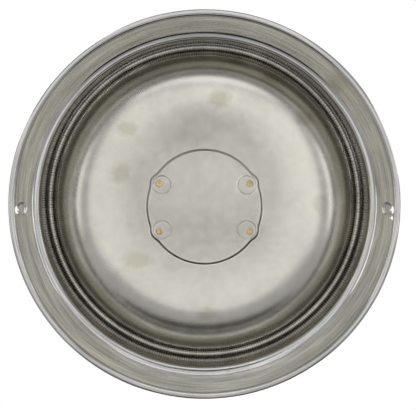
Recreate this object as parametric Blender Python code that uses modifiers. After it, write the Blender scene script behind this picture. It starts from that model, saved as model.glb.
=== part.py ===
"""A 50 litre stainless steel beer keg, standing upright on its bottom chime.

Units are metres, +Z is up. The origin is the middle of the plane that the keg stands on, and Z is the keg's
axis. The drain holes of the bottom chime lie on the X axis. The hand-holds of the top chime face -Y and +Y.
"""

from math import asin, atan2, cos, pi, radians, sin, sqrt, tan

import bmesh
import bpy

# Overall
KEG_HEIGHT = 0.532
CHIME_RADIUS = 0.1975
RING_STEPS = 40
SMALL_STEPS = 24
TUBE_STEPS = 20
GAP = 0.0003

# Sheet thicknesses
BODY_WALL = 0.0016
DOME_WALL = 0.0018
CHIME_WALL = 0.0022

# Body and its two rolling hoops, which stand as far out as the chimes
HOOP_PROUD = 0.007
HOOP_HALF_WIDTH = 0.016
HOOP_SPACING = 0.152
GIRTH_HEIGHT = 0.112
GIRTH_WELD_WIDTH = 0.0018
GIRTH_WELD_PROUD = 0.0005
RIM_STRAIGHT = 0.004

# Chimes
LIP_RADIUS = 0.0034
LIP_FLAT = 0.0016
LIP_START = radians(168)
LIP_END = radians(470)
BORE_BELOW_BODY = 0.0183
CHIME_ROOT_CLEARANCE = 0.0010
LEDGE_HEIGHT = 0.0265
LEDGE_WIDTH = 0.0048
LEDGE_ROUND = 0.0012
TOP_FLARE_DEPTH = 0.020
TOP_FLARE_BEND = 0.004
TOP_FLARE_HOLLOW = 0.006
TOP_FLARE_RISE = 0.0045
WELD_BEAD_RADIUS = 0.0031
WELD_CREVICE = 0.0006

# Drain holes of the bottom chime
DRAIN_DIAMETER = 0.008
DRAIN_FROM_LIP = 0.0016
DRAIN_DIMPLE_RADIUS = 0.0068
DRAIN_DIMPLE_DEPTH = 0.0011
DRAIN_DIMPLE_OFFSET = 0.0068
VENT_DIAMETER = 0.0052
VENT_SPACING = 0.0085
DRAIN_CUT_LENGTH = 0.014

# Hand-holds of the top chime
HANDHOLD_WIDTH = 0.112
HANDHOLD_HEIGHT = 0.034
HANDHOLD_BELOW_FLARE = 0.002
HANDHOLD_END_FLAT = 0.001

# Bottom dome, whose heights count up from the standing plane
RIDGE_HEIGHT = 0.025
CROWN_WIDTH = 0.0514
CROWN_RISE = 0.031
KNUCKLE_INSIDE_BORE = 0.0107
KNUCKLE_WIDTH = 0.0021
KNUCKLE_RISE = 0.0065
SHOULDER_SLOPE = radians(47)
BOWL_EDGE_RISE = 0.004
BOWL_CENTRE_RISE = 0.006
BOWL_EASE = 0.020

# Base disc in its well, and its four threaded inserts
JOINT_RADIUS = 0.0596
JOINT_GAP = 0.0011
DISC_THICKNESS = 0.0024
WELL_CLEARANCE = 0.0028
PAN_MARGIN = 0.0026
PAN_STEP = 0.001
PAN_SLOPE_WIDTH = 0.004
INSERT_INSIDE_JOINT = 0.0061
EAR_INSIDE_INSERT = 0.0017
DIMPLE_INSIDE_INSERT = 0.0027
EAR_ANGLE = radians(28)
DIMPLE_RADIUS = 0.0092
DIMPLE_DEPTH = 0.0015
EAR_MARGIN = 0.0012
INSERT_HOLE_DIAMETER = 0.0074
INSERT_OVERLAP = 0.0013
INSERT_CHAMFER = 0.0004
DISC_CUT_LENGTH = 0.02

# Top dome, whose heights count down from the top
CROWN_BELOW_TOP = 0.044
TOP_CROWN_DROP = 0.016
CROWN_FLAT_WIDTH = 0.022
CROWN_EASE = 0.045
CROWN_EDGE_EASE = 0.018
CROWN_EDGE_RISE = 0.011
TOP_KNUCKLE_DROP = 0.0055

# Spear: the valve that the coupler opens, and its tube to the bottom of the keg, sized from the tube outwards
DOWN_TUBE_RADIUS = 0.0080
DOWN_TUBE_WALL = 0.0010
DOWN_TUBE_FOOT_CLEARANCE = 0.004
GAS_VALVE_TRAVEL = 0.006
BEER_VALVE_TRAVEL = 0.004
COLLAR_WAY_WIDTH = 0.0020
COLLAR_WALL = 0.0025
COLLAR_FLANGE_THICKNESS = 0.0026
COLLAR_LEDGE_WIDTH = 0.0045
COLLAR_LEDGE_THICKNESS = 0.0023
COLLAR_SOCKET_LENGTH = 0.0107
POPPET_CLEARANCE = 0.0008
POPPET_HEAD_THICKNESS = 0.0038
POPPET_NOSE_SHARE = 0.6
POPPET_NOSE_CHAMFER = 0.001
POPPET_STEM_RADIUS = 0.0030
POPPET_STEM_LENGTH = 0.0095
POPPET_STEM_CHAMFER = 0.0006
POPPET_STEM_CLEARANCE = 0.0027
POPPET_SPRING_INSIDE_WAY = 0.0026
POPPET_SPRING_WIRE = 0.0012
POPPET_SPRING_TURNS = 3
MAIN_SPRING_OUTSIDE_COLLAR = 0.0035
MAIN_SPRING_CLEARANCE = 0.0034
MAIN_SPRING_WIRE = 0.0022
MAIN_SPRING_TURNS = 5
COIL_POINTS_PER_TURN = 10
CLOSED_TURN_RISE = 1.25
GAS_SEAL_CLEARANCE = 0.0012
GAS_SEAL_THICKNESS = 0.0078
GAS_SEAL_LIP_OVERLAP = 0.0020
GAS_SEAL_LIP_THICKNESS = 0.0028
GAS_SEAL_BEVEL = 0.0012
HOUSING_WALL = 0.0023
HOUSING_LENGTH = 0.069
HOUSING_FLANGE_THICKNESS = 0.0080
HOUSING_CLEARANCE = 0.0005
HOUSING_SEAT_OVERLAP = 0.0058
HOUSING_SEAT_THICKNESS = 0.0053
HOUSING_SEAT_CHAMFER = 0.0015
HOUSING_CRIMP_WIDTH = 0.0025
HOUSING_CRIMP_THICKNESS = 0.0017
LUG_SLOT_WIDTH = 0.008
LUG_SLOT_REACH = 0.005
LUG_SLOT_SHARE = 0.6
GAS_PORT_DIAMETER = 0.010
GAS_PORT_CUT_LENGTH = 0.06
SPRING_SEAT_THICKNESS = 0.0020
RETAINER_THICKNESS = 0.0016
RETAINER_REACH = 0.0026
RETAINER_SPLIT = 0.007
SEAL_CORD_RADIUS = 0.0013

# Neck, which the spear sits in
NECK_TOP_BELOW_TOP = 0.022
NECK_HEIGHT = 0.036
NECK_WALL = 0.0060
NECK_LEDGE_CLEARANCE = 0.0006
NECK_LEDGE_WIDTH = 0.0036
NECK_LEDGE_DEPTH = 0.019
NECK_GROOVE_DEPTH = 0.0020
NECK_CHAMFER = 0.001
NECK_WELD_RADIUS = 0.0022

# Radii that follow from the sizes above
BODY_RADIUS = CHIME_RADIUS - HOOP_PROUD
CHIME_BORE = BODY_RADIUS - BORE_BELOW_BODY
KNUCKLE_RADIUS = CHIME_BORE - KNUCKLE_INSIDE_BORE
DOME_EDGE_RADIUS = KNUCKLE_RADIUS - KNUCKLE_WIDTH
RIDGE_RADIUS = DOME_EDGE_RADIUS - CROWN_WIDTH
INSERT_CIRCLE_RADIUS = JOINT_RADIUS - INSERT_INSIDE_JOINT
EAR_CENTRE_RADIUS = INSERT_CIRCLE_RADIUS - EAR_INSIDE_INSERT
DIMPLE_CENTRE_RADIUS = INSERT_CIRCLE_RADIUS - DIMPLE_INSIDE_INSERT
EAR_RADIUS = DIMPLE_RADIUS + EAR_MARGIN
JOINT_REACH = max(JOINT_RADIUS, EAR_CENTRE_RADIUS + EAR_RADIUS)
INSERT_RADIUS = INSERT_HOLE_DIAMETER / 2 + INSERT_OVERLAP
COLLAR_BORE_RADIUS = DOWN_TUBE_RADIUS + COLLAR_WAY_WIDTH
COLLAR_RADIUS = COLLAR_BORE_RADIUS + COLLAR_WALL
COLLAR_LEDGE_RADIUS = COLLAR_BORE_RADIUS - COLLAR_LEDGE_WIDTH
POPPET_RADIUS = COLLAR_BORE_RADIUS - POPPET_CLEARANCE
POPPET_SPRING_RADIUS = COLLAR_BORE_RADIUS - POPPET_SPRING_INSIDE_WAY
MAIN_SPRING_RADIUS = COLLAR_RADIUS + MAIN_SPRING_OUTSIDE_COLLAR
HOUSING_BORE_RADIUS = MAIN_SPRING_RADIUS + MAIN_SPRING_WIRE / 2 + MAIN_SPRING_CLEARANCE
HOUSING_OUTER_RADIUS = HOUSING_BORE_RADIUS + HOUSING_WALL
HOUSING_CRIMP_RADIUS = HOUSING_BORE_RADIUS - HOUSING_CRIMP_WIDTH
GAS_SEAL_RADIUS = HOUSING_BORE_RADIUS - GAS_SEAL_CLEARANCE
GAS_SEAL_LIP_RADIUS = POPPET_RADIUS - GAS_SEAL_LIP_OVERLAP
HOUSING_SEAT_RADIUS = GAS_SEAL_RADIUS - HOUSING_SEAT_OVERLAP
LUG_SLOT_RADIUS = HOUSING_SEAT_RADIUS + LUG_SLOT_REACH
NECK_LEDGE_RADIUS = HOUSING_OUTER_RADIUS + NECK_LEDGE_CLEARANCE
NECK_BORE_RADIUS = NECK_LEDGE_RADIUS + NECK_LEDGE_WIDTH
NECK_OUTER_RADIUS = NECK_BORE_RADIUS + NECK_WALL
CROWN_FLAT_RADIUS = NECK_OUTER_RADIUS + CROWN_FLAT_WIDTH

# Heights that follow from the sizes above
BOWL_EDGE_HEIGHT = RIDGE_HEIGHT + BOWL_EDGE_RISE
BOWL_CENTRE_HEIGHT = RIDGE_HEIGHT + BOWL_CENTRE_RISE
DOME_EDGE_HEIGHT = RIDGE_HEIGHT + CROWN_RISE
KNUCKLE_HEIGHT = DOME_EDGE_HEIGHT + KNUCKLE_RISE
TOP_EDGE_BELOW_TOP = CROWN_BELOW_TOP + TOP_CROWN_DROP
TOP_KNUCKLE_BELOW_TOP = TOP_EDGE_BELOW_TOP + TOP_KNUCKLE_DROP
HANDHOLD_BELOW_TOP = TOP_FLARE_DEPTH + HANDHOLD_BELOW_FLARE + HANDHOLD_HEIGHT / 2
WELL_FLOOR = BOWL_CENTRE_HEIGHT + DISC_THICKNESS + WELL_CLEARANCE
NECK_TOP = KEG_HEIGHT - NECK_TOP_BELOW_TOP
NECK_LEDGE = NECK_TOP - NECK_LEDGE_DEPTH
HOUSING_BASE = NECK_LEDGE + 2 * SEAL_CORD_RADIUS + 2 * GAP
HOUSING_TOP = HOUSING_BASE + HOUSING_FLANGE_THICKNESS
RETAINER_MIDDLE = HOUSING_TOP + GAP + RETAINER_THICKNESS / 2
HOUSING_SEAT = HOUSING_TOP - HOUSING_SEAT_THICKNESS
HOUSING_FOOT = HOUSING_BASE - HOUSING_LENGTH
GAS_SEAL_TOP = HOUSING_SEAT - GAP
GAS_SEAL_BASE = GAS_SEAL_TOP - GAS_SEAL_THICKNESS
COLLAR_TOP = GAS_SEAL_BASE - GAP
POPPET_TOP = GAS_SEAL_TOP - GAS_SEAL_LIP_THICKNESS - GAP
POPPET_BASE = POPPET_TOP - POPPET_HEAD_THICKNESS
POPPET_FOOT = POPPET_BASE - POPPET_STEM_LENGTH
COLLAR_LEDGE_TOP = POPPET_FOOT - BEER_VALVE_TRAVEL - POPPET_STEM_CLEARANCE
COLLAR_LEDGE_BASE = COLLAR_LEDGE_TOP - COLLAR_LEDGE_THICKNESS
COLLAR_FOOT = COLLAR_LEDGE_BASE - COLLAR_SOCKET_LENGTH
DOWN_TUBE_FOOT_HEIGHT = WELL_FLOOR + DOME_WALL + GAS_VALVE_TRAVEL + DOWN_TUBE_FOOT_CLEARANCE
SPRING_SEAT_BASE = HOUSING_FOOT + HOUSING_CRIMP_THICKNESS + GAP
SPRING_SEAT_TOP = SPRING_SEAT_BASE + SPRING_SEAT_THICKNESS


# ---------------------------------------------------------------- scene and materials
def clear_scene():
    for thing in list(bpy.data.objects):
        bpy.data.objects.remove(thing, do_unlink=True)


def collection(name):
    made = bpy.data.collections.new(name)
    bpy.context.scene.collection.children.link(made)
    return made


def material(name, colour, roughness, metallic):
    made = bpy.data.materials.new(name)
    made.use_nodes = True
    shader = made.node_tree.nodes["Principled BSDF"]
    shader.inputs["Base Color"].default_value = (*colour, 1)
    shader.inputs["Roughness"].default_value = roughness
    shader.inputs["Metallic"].default_value = metallic
    return made


# ---------------------------------------------------------------- outlines, as (radius, height) pairs
def arc(centre, radius, start, end, pieces):
    """Points on a circle from one angle to another, in radians from the outward direction."""
    steps = [start + (end - start) * i / pieces for i in range(pieces + 1)]
    return [(centre[0] + radius * cos(a), centre[1] + radius * sin(a)) for a in steps]


def bezier(start, first, second, end, pieces):
    """Points on a cubic curve, its two ends included."""
    handles = (start, first, second, end)
    points = []
    for i in range(pieces + 1):
        t = i / pieces
        weights = ((1 - t) ** 3, 3 * t * (1 - t) ** 2, 3 * t * t * (1 - t), t**3)
        points.append(tuple(sum(w * p[k] for w, p in zip(weights, handles)) for k in (0, 1)))
    return points


def offset(points, distance):
    """The same line moved sideways, to the left of its direction. A point on the axis stays on it."""
    moved = []
    for i, (r, z) in enumerate(points):
        before, after = points[max(i - 1, 0)], points[min(i + 1, len(points) - 1)]
        first = atan2(z - before[1], r - before[0]) if i else None
        last = atan2(after[1] - z, after[0] - r) if i < len(points) - 1 else None
        first = last if first is None else first
        last = first if last is None else last
        turn = (last - first + pi) % (2 * pi) - pi
        along = first + turn / 2
        reach = distance / cos(turn / 2)
        moved.append((0.0 if r == 0 else r - reach * sin(along), z + reach * cos(along)))
    return moved


def flipped(points):
    """The outline turned upside down, from the bottom end of the keg to its top end."""
    return [(r, KEG_HEIGHT - z) for r, z in points]


def clockwise(points):
    """The order that runs down the outer side, which is what the Screw modifier needs."""
    loop = zip(points, points[1:] + points[:1])
    area = sum(a[0] * b[1] - b[0] * a[1] for a, b in loop)
    return points[::-1] if area > 0 else points


# ---------------------------------------------------------------- solids
def add_object(name, mesh, look, home):
    made = bpy.data.objects.new(name, mesh)
    if look:
        mesh.materials.append(look)
    home.objects.link(made)
    return made


def turned(name, outline, look, home, steps=RING_STEPS, base=0.0):
    """A solid of revolution, its origin at base. The outline is closed, or both its ends are on the axis."""
    on_axis = outline[0][0] == 0 and outline[-1][0] == 0
    points = clockwise(outline)
    edges = [(i, i + 1) for i in range(len(points) - 1)]
    if not on_axis:
        edges.append((len(points) - 1, 0))
    mesh = bpy.data.meshes.new(name)
    mesh.from_pydata([(r, 0, z - base) for r, z in points], edges, [])
    made = add_object(name, mesh, look, home)
    made.location.z = base
    screw = made.modifiers.new("turn", "SCREW")
    screw.steps = screw.render_steps = steps
    screw.use_merge_vertices = True
    screw.merge_threshold = 0.00001
    screw.use_smooth_shade = True
    return made


def boolean(target, cutter, operation="DIFFERENCE"):
    cut = target.modifiers.new(operation.lower(), "BOOLEAN")
    cut.object = cutter
    cut.operation = operation


def as_cutter(thing):
    thing.hide_render = True
    thing.display_type = "WIRE"
    return thing


def cylinder_cutter(name, radius, length, location, rotation, home, sides=20):
    bpy.ops.mesh.primitive_cylinder_add(
        vertices=sides, radius=radius, depth=length, location=location, rotation=rotation
    )
    return moved_to(bpy.context.object, name, home)


def sphere_cutter(name, radius, location, home):
    bpy.ops.mesh.primitive_uv_sphere_add(segments=20, ring_count=10, radius=radius, location=location)
    return moved_to(bpy.context.object, name, home)


def moved_to(thing, name, home):
    thing.name = name
    for other in thing.users_collection:
        other.objects.unlink(thing)
    home.objects.link(thing)
    return as_cutter(thing)


def prism_cutter(name, outline, low, high, home):
    """An upright prism from a flat outline of (x, y) pairs, as a mesh with its caps welded."""
    curve = bpy.data.curves.new(name, "CURVE")
    curve.dimensions = "2D"
    curve.fill_mode = "BOTH"
    curve.extrude = (high - low) / 2
    spline = curve.splines.new("POLY")
    spline.points.add(len(outline) - 1)
    for point, (x, y) in zip(spline.points, outline):
        point.co = (x, y, 0, 1)
    spline.use_cyclic_u = True
    made = bpy.data.objects.new(name, curve)
    home.objects.link(made)
    made.location.z = (low + high) / 2
    return as_cutter(made_mesh(made, name, home))


def made_mesh(thing, name, home):
    """A mesh object in place of a curve object, with the caps of the curve welded to its sides."""
    bpy.context.view_layer.update()
    mesh = bpy.data.meshes.new_from_object(thing.evaluated_get(bpy.context.evaluated_depsgraph_get()))
    cage = bmesh.new()
    cage.from_mesh(mesh)
    bmesh.ops.remove_doubles(cage, verts=cage.verts, dist=0.00001)
    bmesh.ops.recalc_face_normals(cage, faces=cage.faces)
    cage.to_mesh(mesh)
    cage.free()
    place = thing.matrix_world.copy()
    bpy.data.objects.remove(thing, do_unlink=True)
    made = bpy.data.objects.new(name, mesh)
    home.objects.link(made)
    made.matrix_world = place
    return made


def tube_along(name, points, radius, look, home, roundness=1):
    """A wire of one thickness along a line of points, with closed ends."""
    curve = bpy.data.curves.new(name, "CURVE")
    curve.dimensions = "3D"
    curve.bevel_depth = radius
    curve.bevel_resolution = roundness
    curve.use_fill_caps = True
    spline = curve.splines.new("POLY")
    spline.points.add(len(points) - 1)
    for point, (x, y, z) in zip(spline.points, points):
        point.co = (x, y, z, 1)
    made = bpy.data.objects.new(name, curve)
    curve.materials.append(look)
    home.objects.link(made)
    return made


def coil(name, radius, wire, base, top, turns, look, home):
    """A compression spring between two heights, with one closed turn at each end."""
    low, high = base + wire / 2 + GAP, top - wire / 2 - GAP
    count = (turns + 2) * COIL_POINTS_PER_TURN
    closed_rise = CLOSED_TURN_RISE * wire
    points = []
    for i in range(count + 1):
        turn = i / COIL_POINTS_PER_TURN
        if turn <= 1:
            height = low + closed_rise * turn
        elif turn >= turns + 1:
            height = high - closed_rise * (turns + 2 - turn)
        else:
            height = low + closed_rise + (high - low - 2 * closed_rise) * (turn - 1) / turns
        angle = 2 * pi * turn
        points.append((radius * cos(angle), radius * sin(angle), height - base))
    made = tube_along(name, points, wire / 2, look, home)
    made.location.z = base
    return made


# ---------------------------------------------------------------- where the domes, chimes and welds meet
def shoulder(knuckle_height):
    """The line from the knuckle out to the body and up to the girth weld, which it meets upright."""
    rim = GIRTH_HEIGHT - GIRTH_WELD_WIDTH / 2 - GAP
    turn_end = rim - RIM_STRAIGHT
    reach = turn_end - knuckle_height
    run = 0.35 * (BODY_RADIUS - KNUCKLE_RADIUS)
    bend = bezier(
        (KNUCKLE_RADIUS, knuckle_height),
        (KNUCKLE_RADIUS + run, knuckle_height + run * tan(SHOULDER_SLOPE)),
        (BODY_RADIUS, knuckle_height + 0.55 * reach),
        (BODY_RADIUS, turn_end),
        5,
    )
    return bend + [(BODY_RADIUS, rim)]


def height_at(line, radius):
    """Height of a line where it first passes a radius."""
    for (r, z), (next_r, next_z) in zip(line, line[1:]):
        if r <= radius <= next_r:
            return z + (next_z - z) * (radius - r) / (next_r - r)
    raise ValueError("the line doesn't reach that radius")


def chime_root(knuckle_height):
    """Where the wall of a chime ends, just short of the dome that it is welded to."""
    return height_at(shoulder(knuckle_height), CHIME_BORE) - CHIME_ROOT_CLEARANCE


def bead_place(knuckle_height):
    """The middle of the weld bead, in the corner between a chime's bore and the dome."""
    radius = CHIME_BORE - WELD_BEAD_RADIUS - WELD_CREVICE
    beside = offset(shoulder(knuckle_height), -WELD_BEAD_RADIUS - WELD_CREVICE)
    return radius, height_at(beside, radius)


# ---------------------------------------------------------------- bottom end
def flat_lip(outer, flat, radius, inner_angle, back_angle):
    """The rolled lip of a chime, from its inner side to its back: round, with a narrow flat to stand on."""
    half = asin(flat / 2 / radius)
    rise = radius * cos(half)
    centre = (outer - radius, rise)
    before = arc(centre, radius, inner_angle, 1.5 * pi - half, 3)
    after = arc(centre, radius, 1.5 * pi + half, back_angle, 6)
    return before + after


def chime_lip():
    return flat_lip(CHIME_RADIUS, LIP_FLAT, LIP_RADIUS, LIP_START, LIP_END)


def ledge_points():
    """The ledge where the bottom chime's upright wall turns out to its flange, from the wall outwards."""
    start = (CHIME_BORE + LEDGE_ROUND, LEDGE_HEIGHT + LEDGE_ROUND)
    end = (start[0] + LEDGE_WIDTH, LEDGE_HEIGHT)
    return start, end


def flange_angle():
    """Slope of the bottom chime's flange, from its lip up to the ledge."""
    ledge, lip = ledge_points()[1], chime_lip()[0]
    return atan2(ledge[1] - lip[1], lip[0] - ledge[0])


def bottom_chime_outline():
    lip = chime_lip()
    start, end = ledge_points()
    face = [
        (CHIME_BORE, chime_root(KNUCKLE_HEIGHT)),
        (CHIME_BORE, start[1] + 4 * LEDGE_ROUND),
        start,
        end,
        (end[0] + LEDGE_ROUND, end[1] - LEDGE_ROUND),
    ]
    back = offset(face + [lip[0]], CHIME_WALL)
    return face + lip + back[-2::-1]


def drain_cutters(home):
    """The hole, the pressed dimple beside it, and on one side a smaller vent."""
    slope = flange_angle()
    tilt = pi / 2 - slope
    lip_inside = CHIME_RADIUS - 2 * LIP_RADIUS
    hole_radius = lip_inside - DRAIN_FROM_LIP
    hole_height = LIP_RADIUS + DRAIN_FROM_LIP * tan(slope)
    dimple_radius = hole_radius - DRAIN_DIMPLE_OFFSET * cos(slope)
    dimple_height = hole_height + DRAIN_DIMPLE_OFFSET * sin(slope)
    ball = (DRAIN_DIMPLE_RADIUS**2 + DRAIN_DIMPLE_DEPTH**2) / (2 * DRAIN_DIMPLE_DEPTH)
    lift = ball - DRAIN_DIMPLE_DEPTH
    made = []
    for side, name in ((1, "right"), (-1, "left")):
        turn = (0, side * -(pi / 2 + tilt) + side * pi, 0)
        place = (side * hole_radius, 0, hole_height)
        made.append(
            cylinder_cutter(f"drain_hole_{name}", DRAIN_DIAMETER / 2, DRAIN_CUT_LENGTH, place, turn, home)
        )
        centre = (
            side * (dimple_radius - lift * sin(slope)),
            0,
            dimple_height - lift * cos(slope),
        )
        made.append(sphere_cutter(f"drain_dimple_{name}", ball, centre, home))
    spot = (sqrt(hole_radius**2 - VENT_SPACING**2), VENT_SPACING, hole_height)
    turn = (0, -(pi / 2 + tilt) + pi, atan2(VENT_SPACING, spot[0]))
    made.append(cylinder_cutter("vent_hole", VENT_DIAMETER / 2, DRAIN_CUT_LENGTH, spot, turn, home))
    return made


def dome_crown_arc(ridge, edge, pieces):
    """An arc that leaves the ridge level and passes through the edge."""
    run, rise = edge[0] - ridge[0], edge[1] - ridge[1]
    radius = (run * run + rise * rise) / (2 * rise)
    sweep = atan2(run, radius - rise)
    centre = (ridge[0], ridge[1] + radius)
    return arc(centre, radius, -pi / 2, -pi / 2 + sweep, pieces)


def bottom_dome_outline():
    bowl = bezier(
        (0, BOWL_CENTRE_HEIGHT),
        (JOINT_RADIUS / 2, BOWL_CENTRE_HEIGHT),
        (RIDGE_RADIUS - BOWL_EASE, RIDGE_HEIGHT),
        (RIDGE_RADIUS, RIDGE_HEIGHT),
        4,
    )
    crown = dome_crown_arc((RIDGE_RADIUS, RIDGE_HEIGHT), (DOME_EDGE_RADIUS, DOME_EDGE_HEIGHT), 5)
    outer = bowl + crown[1:] + shoulder(KNUCKLE_HEIGHT)
    inner = offset(outer, DOME_WALL)
    pan = JOINT_REACH + PAN_MARGIN
    pan_top = WELL_FLOOR + DOME_WALL
    kept = [p for p in inner if p[0] > pan + PAN_SLOPE_WIDTH]
    return outer + kept[::-1] + [(pan + PAN_STEP, pan_top), (0, pan_top)]


def disc_outline(joint_shift):
    """The joint between disc and dome, bulging round the four inserts, and moved out by joint_shift."""
    centres = [EAR_ANGLE, pi - EAR_ANGLE, pi + EAR_ANGLE, 2 * pi - EAR_ANGLE]
    ear = EAR_RADIUS + joint_shift
    points = []
    count = 80
    for i in range(count):
        angle = 2 * pi * i / count
        radius = JOINT_RADIUS + joint_shift
        for centre in centres:
            away = (angle - centre + pi) % (2 * pi) - pi
            across = EAR_CENTRE_RADIUS * sin(away)
            if abs(across) < ear and abs(away) < pi / 2:
                radius = max(radius, EAR_CENTRE_RADIUS * cos(away) + sqrt(ear**2 - across**2))
        points.append((radius * cos(angle), radius * sin(angle)))
    return points


def insert_places(radius):
    angles = (EAR_ANGLE, pi - EAR_ANGLE, pi + EAR_ANGLE, 2 * pi - EAR_ANGLE)
    return [(radius * cos(a), radius * sin(a)) for a in angles]


def bowl_height(radius):
    """Height of the bowl's face at a radius, near its centre."""
    share = min(radius / JOINT_RADIUS, 1)
    return BOWL_CENTRE_HEIGHT + (BOWL_EDGE_HEIGHT - BOWL_CENTRE_HEIGHT) * share**2


def base_disc_outline():
    reach = JOINT_REACH + PAN_MARGIN
    face = []
    for share in (0, 0.25, 0.5, 0.75, 1):
        radius = share * reach
        drop = (BOWL_CENTRE_HEIGHT - BOWL_EDGE_HEIGHT) * (radius / JOINT_RADIUS) ** 2
        face.append((radius, BOWL_CENTRE_HEIGHT - drop))
    return face + [(r, z + DISC_THICKNESS) for r, z in face[::-1]]


def bead_outline(radius, height, size):
    """A weld bead: a ring of five-sided section."""
    return arc((radius, height), size, radians(90), radians(90 + 288), 4)


def build_bottom_end(parts, cutters, steel, weld, brushed, brass):
    chime = turned("bottom_chime", bottom_chime_outline(), brushed, parts)
    for cutter in drain_cutters(cutters):
        boolean(chime, cutter)
    turned("bottom_weld_bead", bead_outline(*bead_place(KNUCKLE_HEIGHT), WELD_BEAD_RADIUS), weld, parts)

    dome = turned("bottom_dome", bottom_dome_outline(), steel, parts)
    well = prism_cutter("disc_well", disc_outline(JOINT_GAP / 2), 0.0, WELL_FLOOR, cutters)
    boolean(dome, well)

    disc = turned("base_disc", base_disc_outline(), steel, parts)
    shape = prism_cutter("disc_shape", disc_outline(-JOINT_GAP / 2), 0.0, 2 * WELL_FLOOR, cutters)
    boolean(disc, shape, "INTERSECT")
    ball = (DIMPLE_RADIUS**2 + DIMPLE_DEPTH**2) / (2 * DIMPLE_DEPTH)
    dimples = insert_places(DIMPLE_CENTRE_RADIUS)
    holes = insert_places(INSERT_CIRCLE_RADIUS)
    names = ("right_back", "left_back", "left_front", "right_front")
    face = bowl_height(DIMPLE_CENTRE_RADIUS)
    for name, dimple, hole in zip(names, dimples, holes):
        centre = (*dimple, face + DIMPLE_DEPTH - ball)
        boolean(disc, sphere_cutter(f"dimple_{name}", ball, centre, cutters))
        place = (*hole, face)
        through = cylinder_cutter(
            f"insert_hole_{name}", INSERT_HOLE_DIAMETER / 2, DISC_CUT_LENGTH, place, (0, 0, 0), cutters
        )
        boolean(disc, through)
        base = bowl_height(INSERT_CIRCLE_RADIUS) + DISC_THICKNESS + 2 * GAP
        insert = turned(f"base_insert_{name}", insert_outline(base, WELL_FLOOR - GAP), brass, parts, 16, base)
        insert.location.x, insert.location.y = hole


def insert_outline(base, top):
    """A short plain bush with a chamfered face."""
    radius, chamfer = INSERT_RADIUS, INSERT_CHAMFER
    return [(0, top), (radius, top), (radius, base + chamfer), (radius - chamfer, base), (0, base)]


# ---------------------------------------------------------------- body
def hoop(height):
    """One rolling hoop's outline, from below it to above it."""
    shares = (-1, -0.62, -0.28, 0.28, 0.62, 1)
    heights = (0, 0.45, 1, 1, 0.45, 0)
    return [(BODY_RADIUS + HOOP_PROUD * h, height + HOOP_HALF_WIDTH * s) for s, h in zip(shares, heights)]


def body_outline():
    low = GIRTH_HEIGHT + GIRTH_WELD_WIDTH / 2 + GAP
    high = KEG_HEIGHT - low
    middle = KEG_HEIGHT / 2
    hoops = hoop(middle - HOOP_SPACING / 2) + hoop(middle + HOOP_SPACING / 2)
    outer = [(BODY_RADIUS, low)] + hoops + [(BODY_RADIUS, high)]
    return outer + offset(outer, BODY_WALL)[::-1]


def girth_weld_outline(height):
    half = GIRTH_WELD_WIDTH / 2
    inner = BODY_RADIUS - BODY_WALL
    return [
        (inner, height - half),
        (BODY_RADIUS, height - half),
        (BODY_RADIUS + GIRTH_WELD_PROUD, height),
        (BODY_RADIUS, height + half),
        (inner, height + half),
    ]


def build_body(parts, steel, weld):
    turned("body_shell", body_outline(), steel, parts)
    turned("lower_girth_weld", girth_weld_outline(GIRTH_HEIGHT), weld, parts)
    turned("upper_girth_weld", girth_weld_outline(KEG_HEIGHT - GIRTH_HEIGHT), weld, parts)


# ---------------------------------------------------------------- top end, measured down from the top
def top_chime_outline():
    lip = chime_lip()
    inside = lip[0]
    face = [
        (CHIME_BORE, chime_root(TOP_KNUCKLE_BELOW_TOP)),
        (CHIME_BORE, TOP_FLARE_DEPTH + TOP_FLARE_BEND),
        (CHIME_BORE + LEDGE_ROUND, TOP_FLARE_DEPTH),
        (inside[0] - TOP_FLARE_HOLLOW, inside[1] + TOP_FLARE_RISE),
    ]
    back = offset(face + [inside], CHIME_WALL)
    return flipped(face + lip + back[-2::-1])


def handhold_outline():
    """A slot with round ends, as (across, up) pairs about its centre."""
    half_width, half_height = HANDHOLD_WIDTH / 2, HANDHOLD_HEIGHT / 2
    corner = (HANDHOLD_HEIGHT - HANDHOLD_END_FLAT) / 2
    points = []
    for side, up, start in ((1, 1, 0), (-1, 1, 90), (-1, -1, 180), (1, -1, 270)):
        centre = (side * (half_width - corner), up * (half_height - corner))
        points += arc(centre, corner, radians(start), radians(start + 90), 4)
    return points


def top_dome_outline():
    crown_height = KEG_HEIGHT - CROWN_BELOW_TOP
    edge = (DOME_EDGE_RADIUS, KEG_HEIGHT - TOP_EDGE_BELOW_TOP)
    crown = bezier(
        (CROWN_FLAT_RADIUS, crown_height),
        (CROWN_FLAT_RADIUS + CROWN_EASE, crown_height),
        (edge[0] - CROWN_EDGE_EASE, edge[1] + CROWN_EDGE_RISE),
        edge,
        5,
    )
    hole = NECK_OUTER_RADIUS + GAP
    outer = [(hole, crown_height)] + crown + flipped(shoulder(TOP_KNUCKLE_BELOW_TOP))
    return outer + offset(outer, -DOME_WALL)[::-1]


def neck_outline():
    base = NECK_TOP - NECK_HEIGHT
    groove = RETAINER_MIDDLE
    deep = NECK_BORE_RADIUS + NECK_GROOVE_DEPTH
    half = RETAINER_THICKNESS / 2 + GAP
    chamfer = NECK_CHAMFER
    return [
        (NECK_OUTER_RADIUS - chamfer, NECK_TOP),
        (NECK_OUTER_RADIUS, NECK_TOP - chamfer),
        (NECK_OUTER_RADIUS, base),
        (NECK_LEDGE_RADIUS, base),
        (NECK_LEDGE_RADIUS, NECK_LEDGE),
        (NECK_BORE_RADIUS, NECK_LEDGE),
        (NECK_BORE_RADIUS, groove - half),
        (deep, groove - half),
        (deep, groove + half),
        (NECK_BORE_RADIUS, groove + half),
        (NECK_BORE_RADIUS, NECK_TOP - chamfer),
        (NECK_BORE_RADIUS + chamfer, NECK_TOP),
    ]


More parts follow.
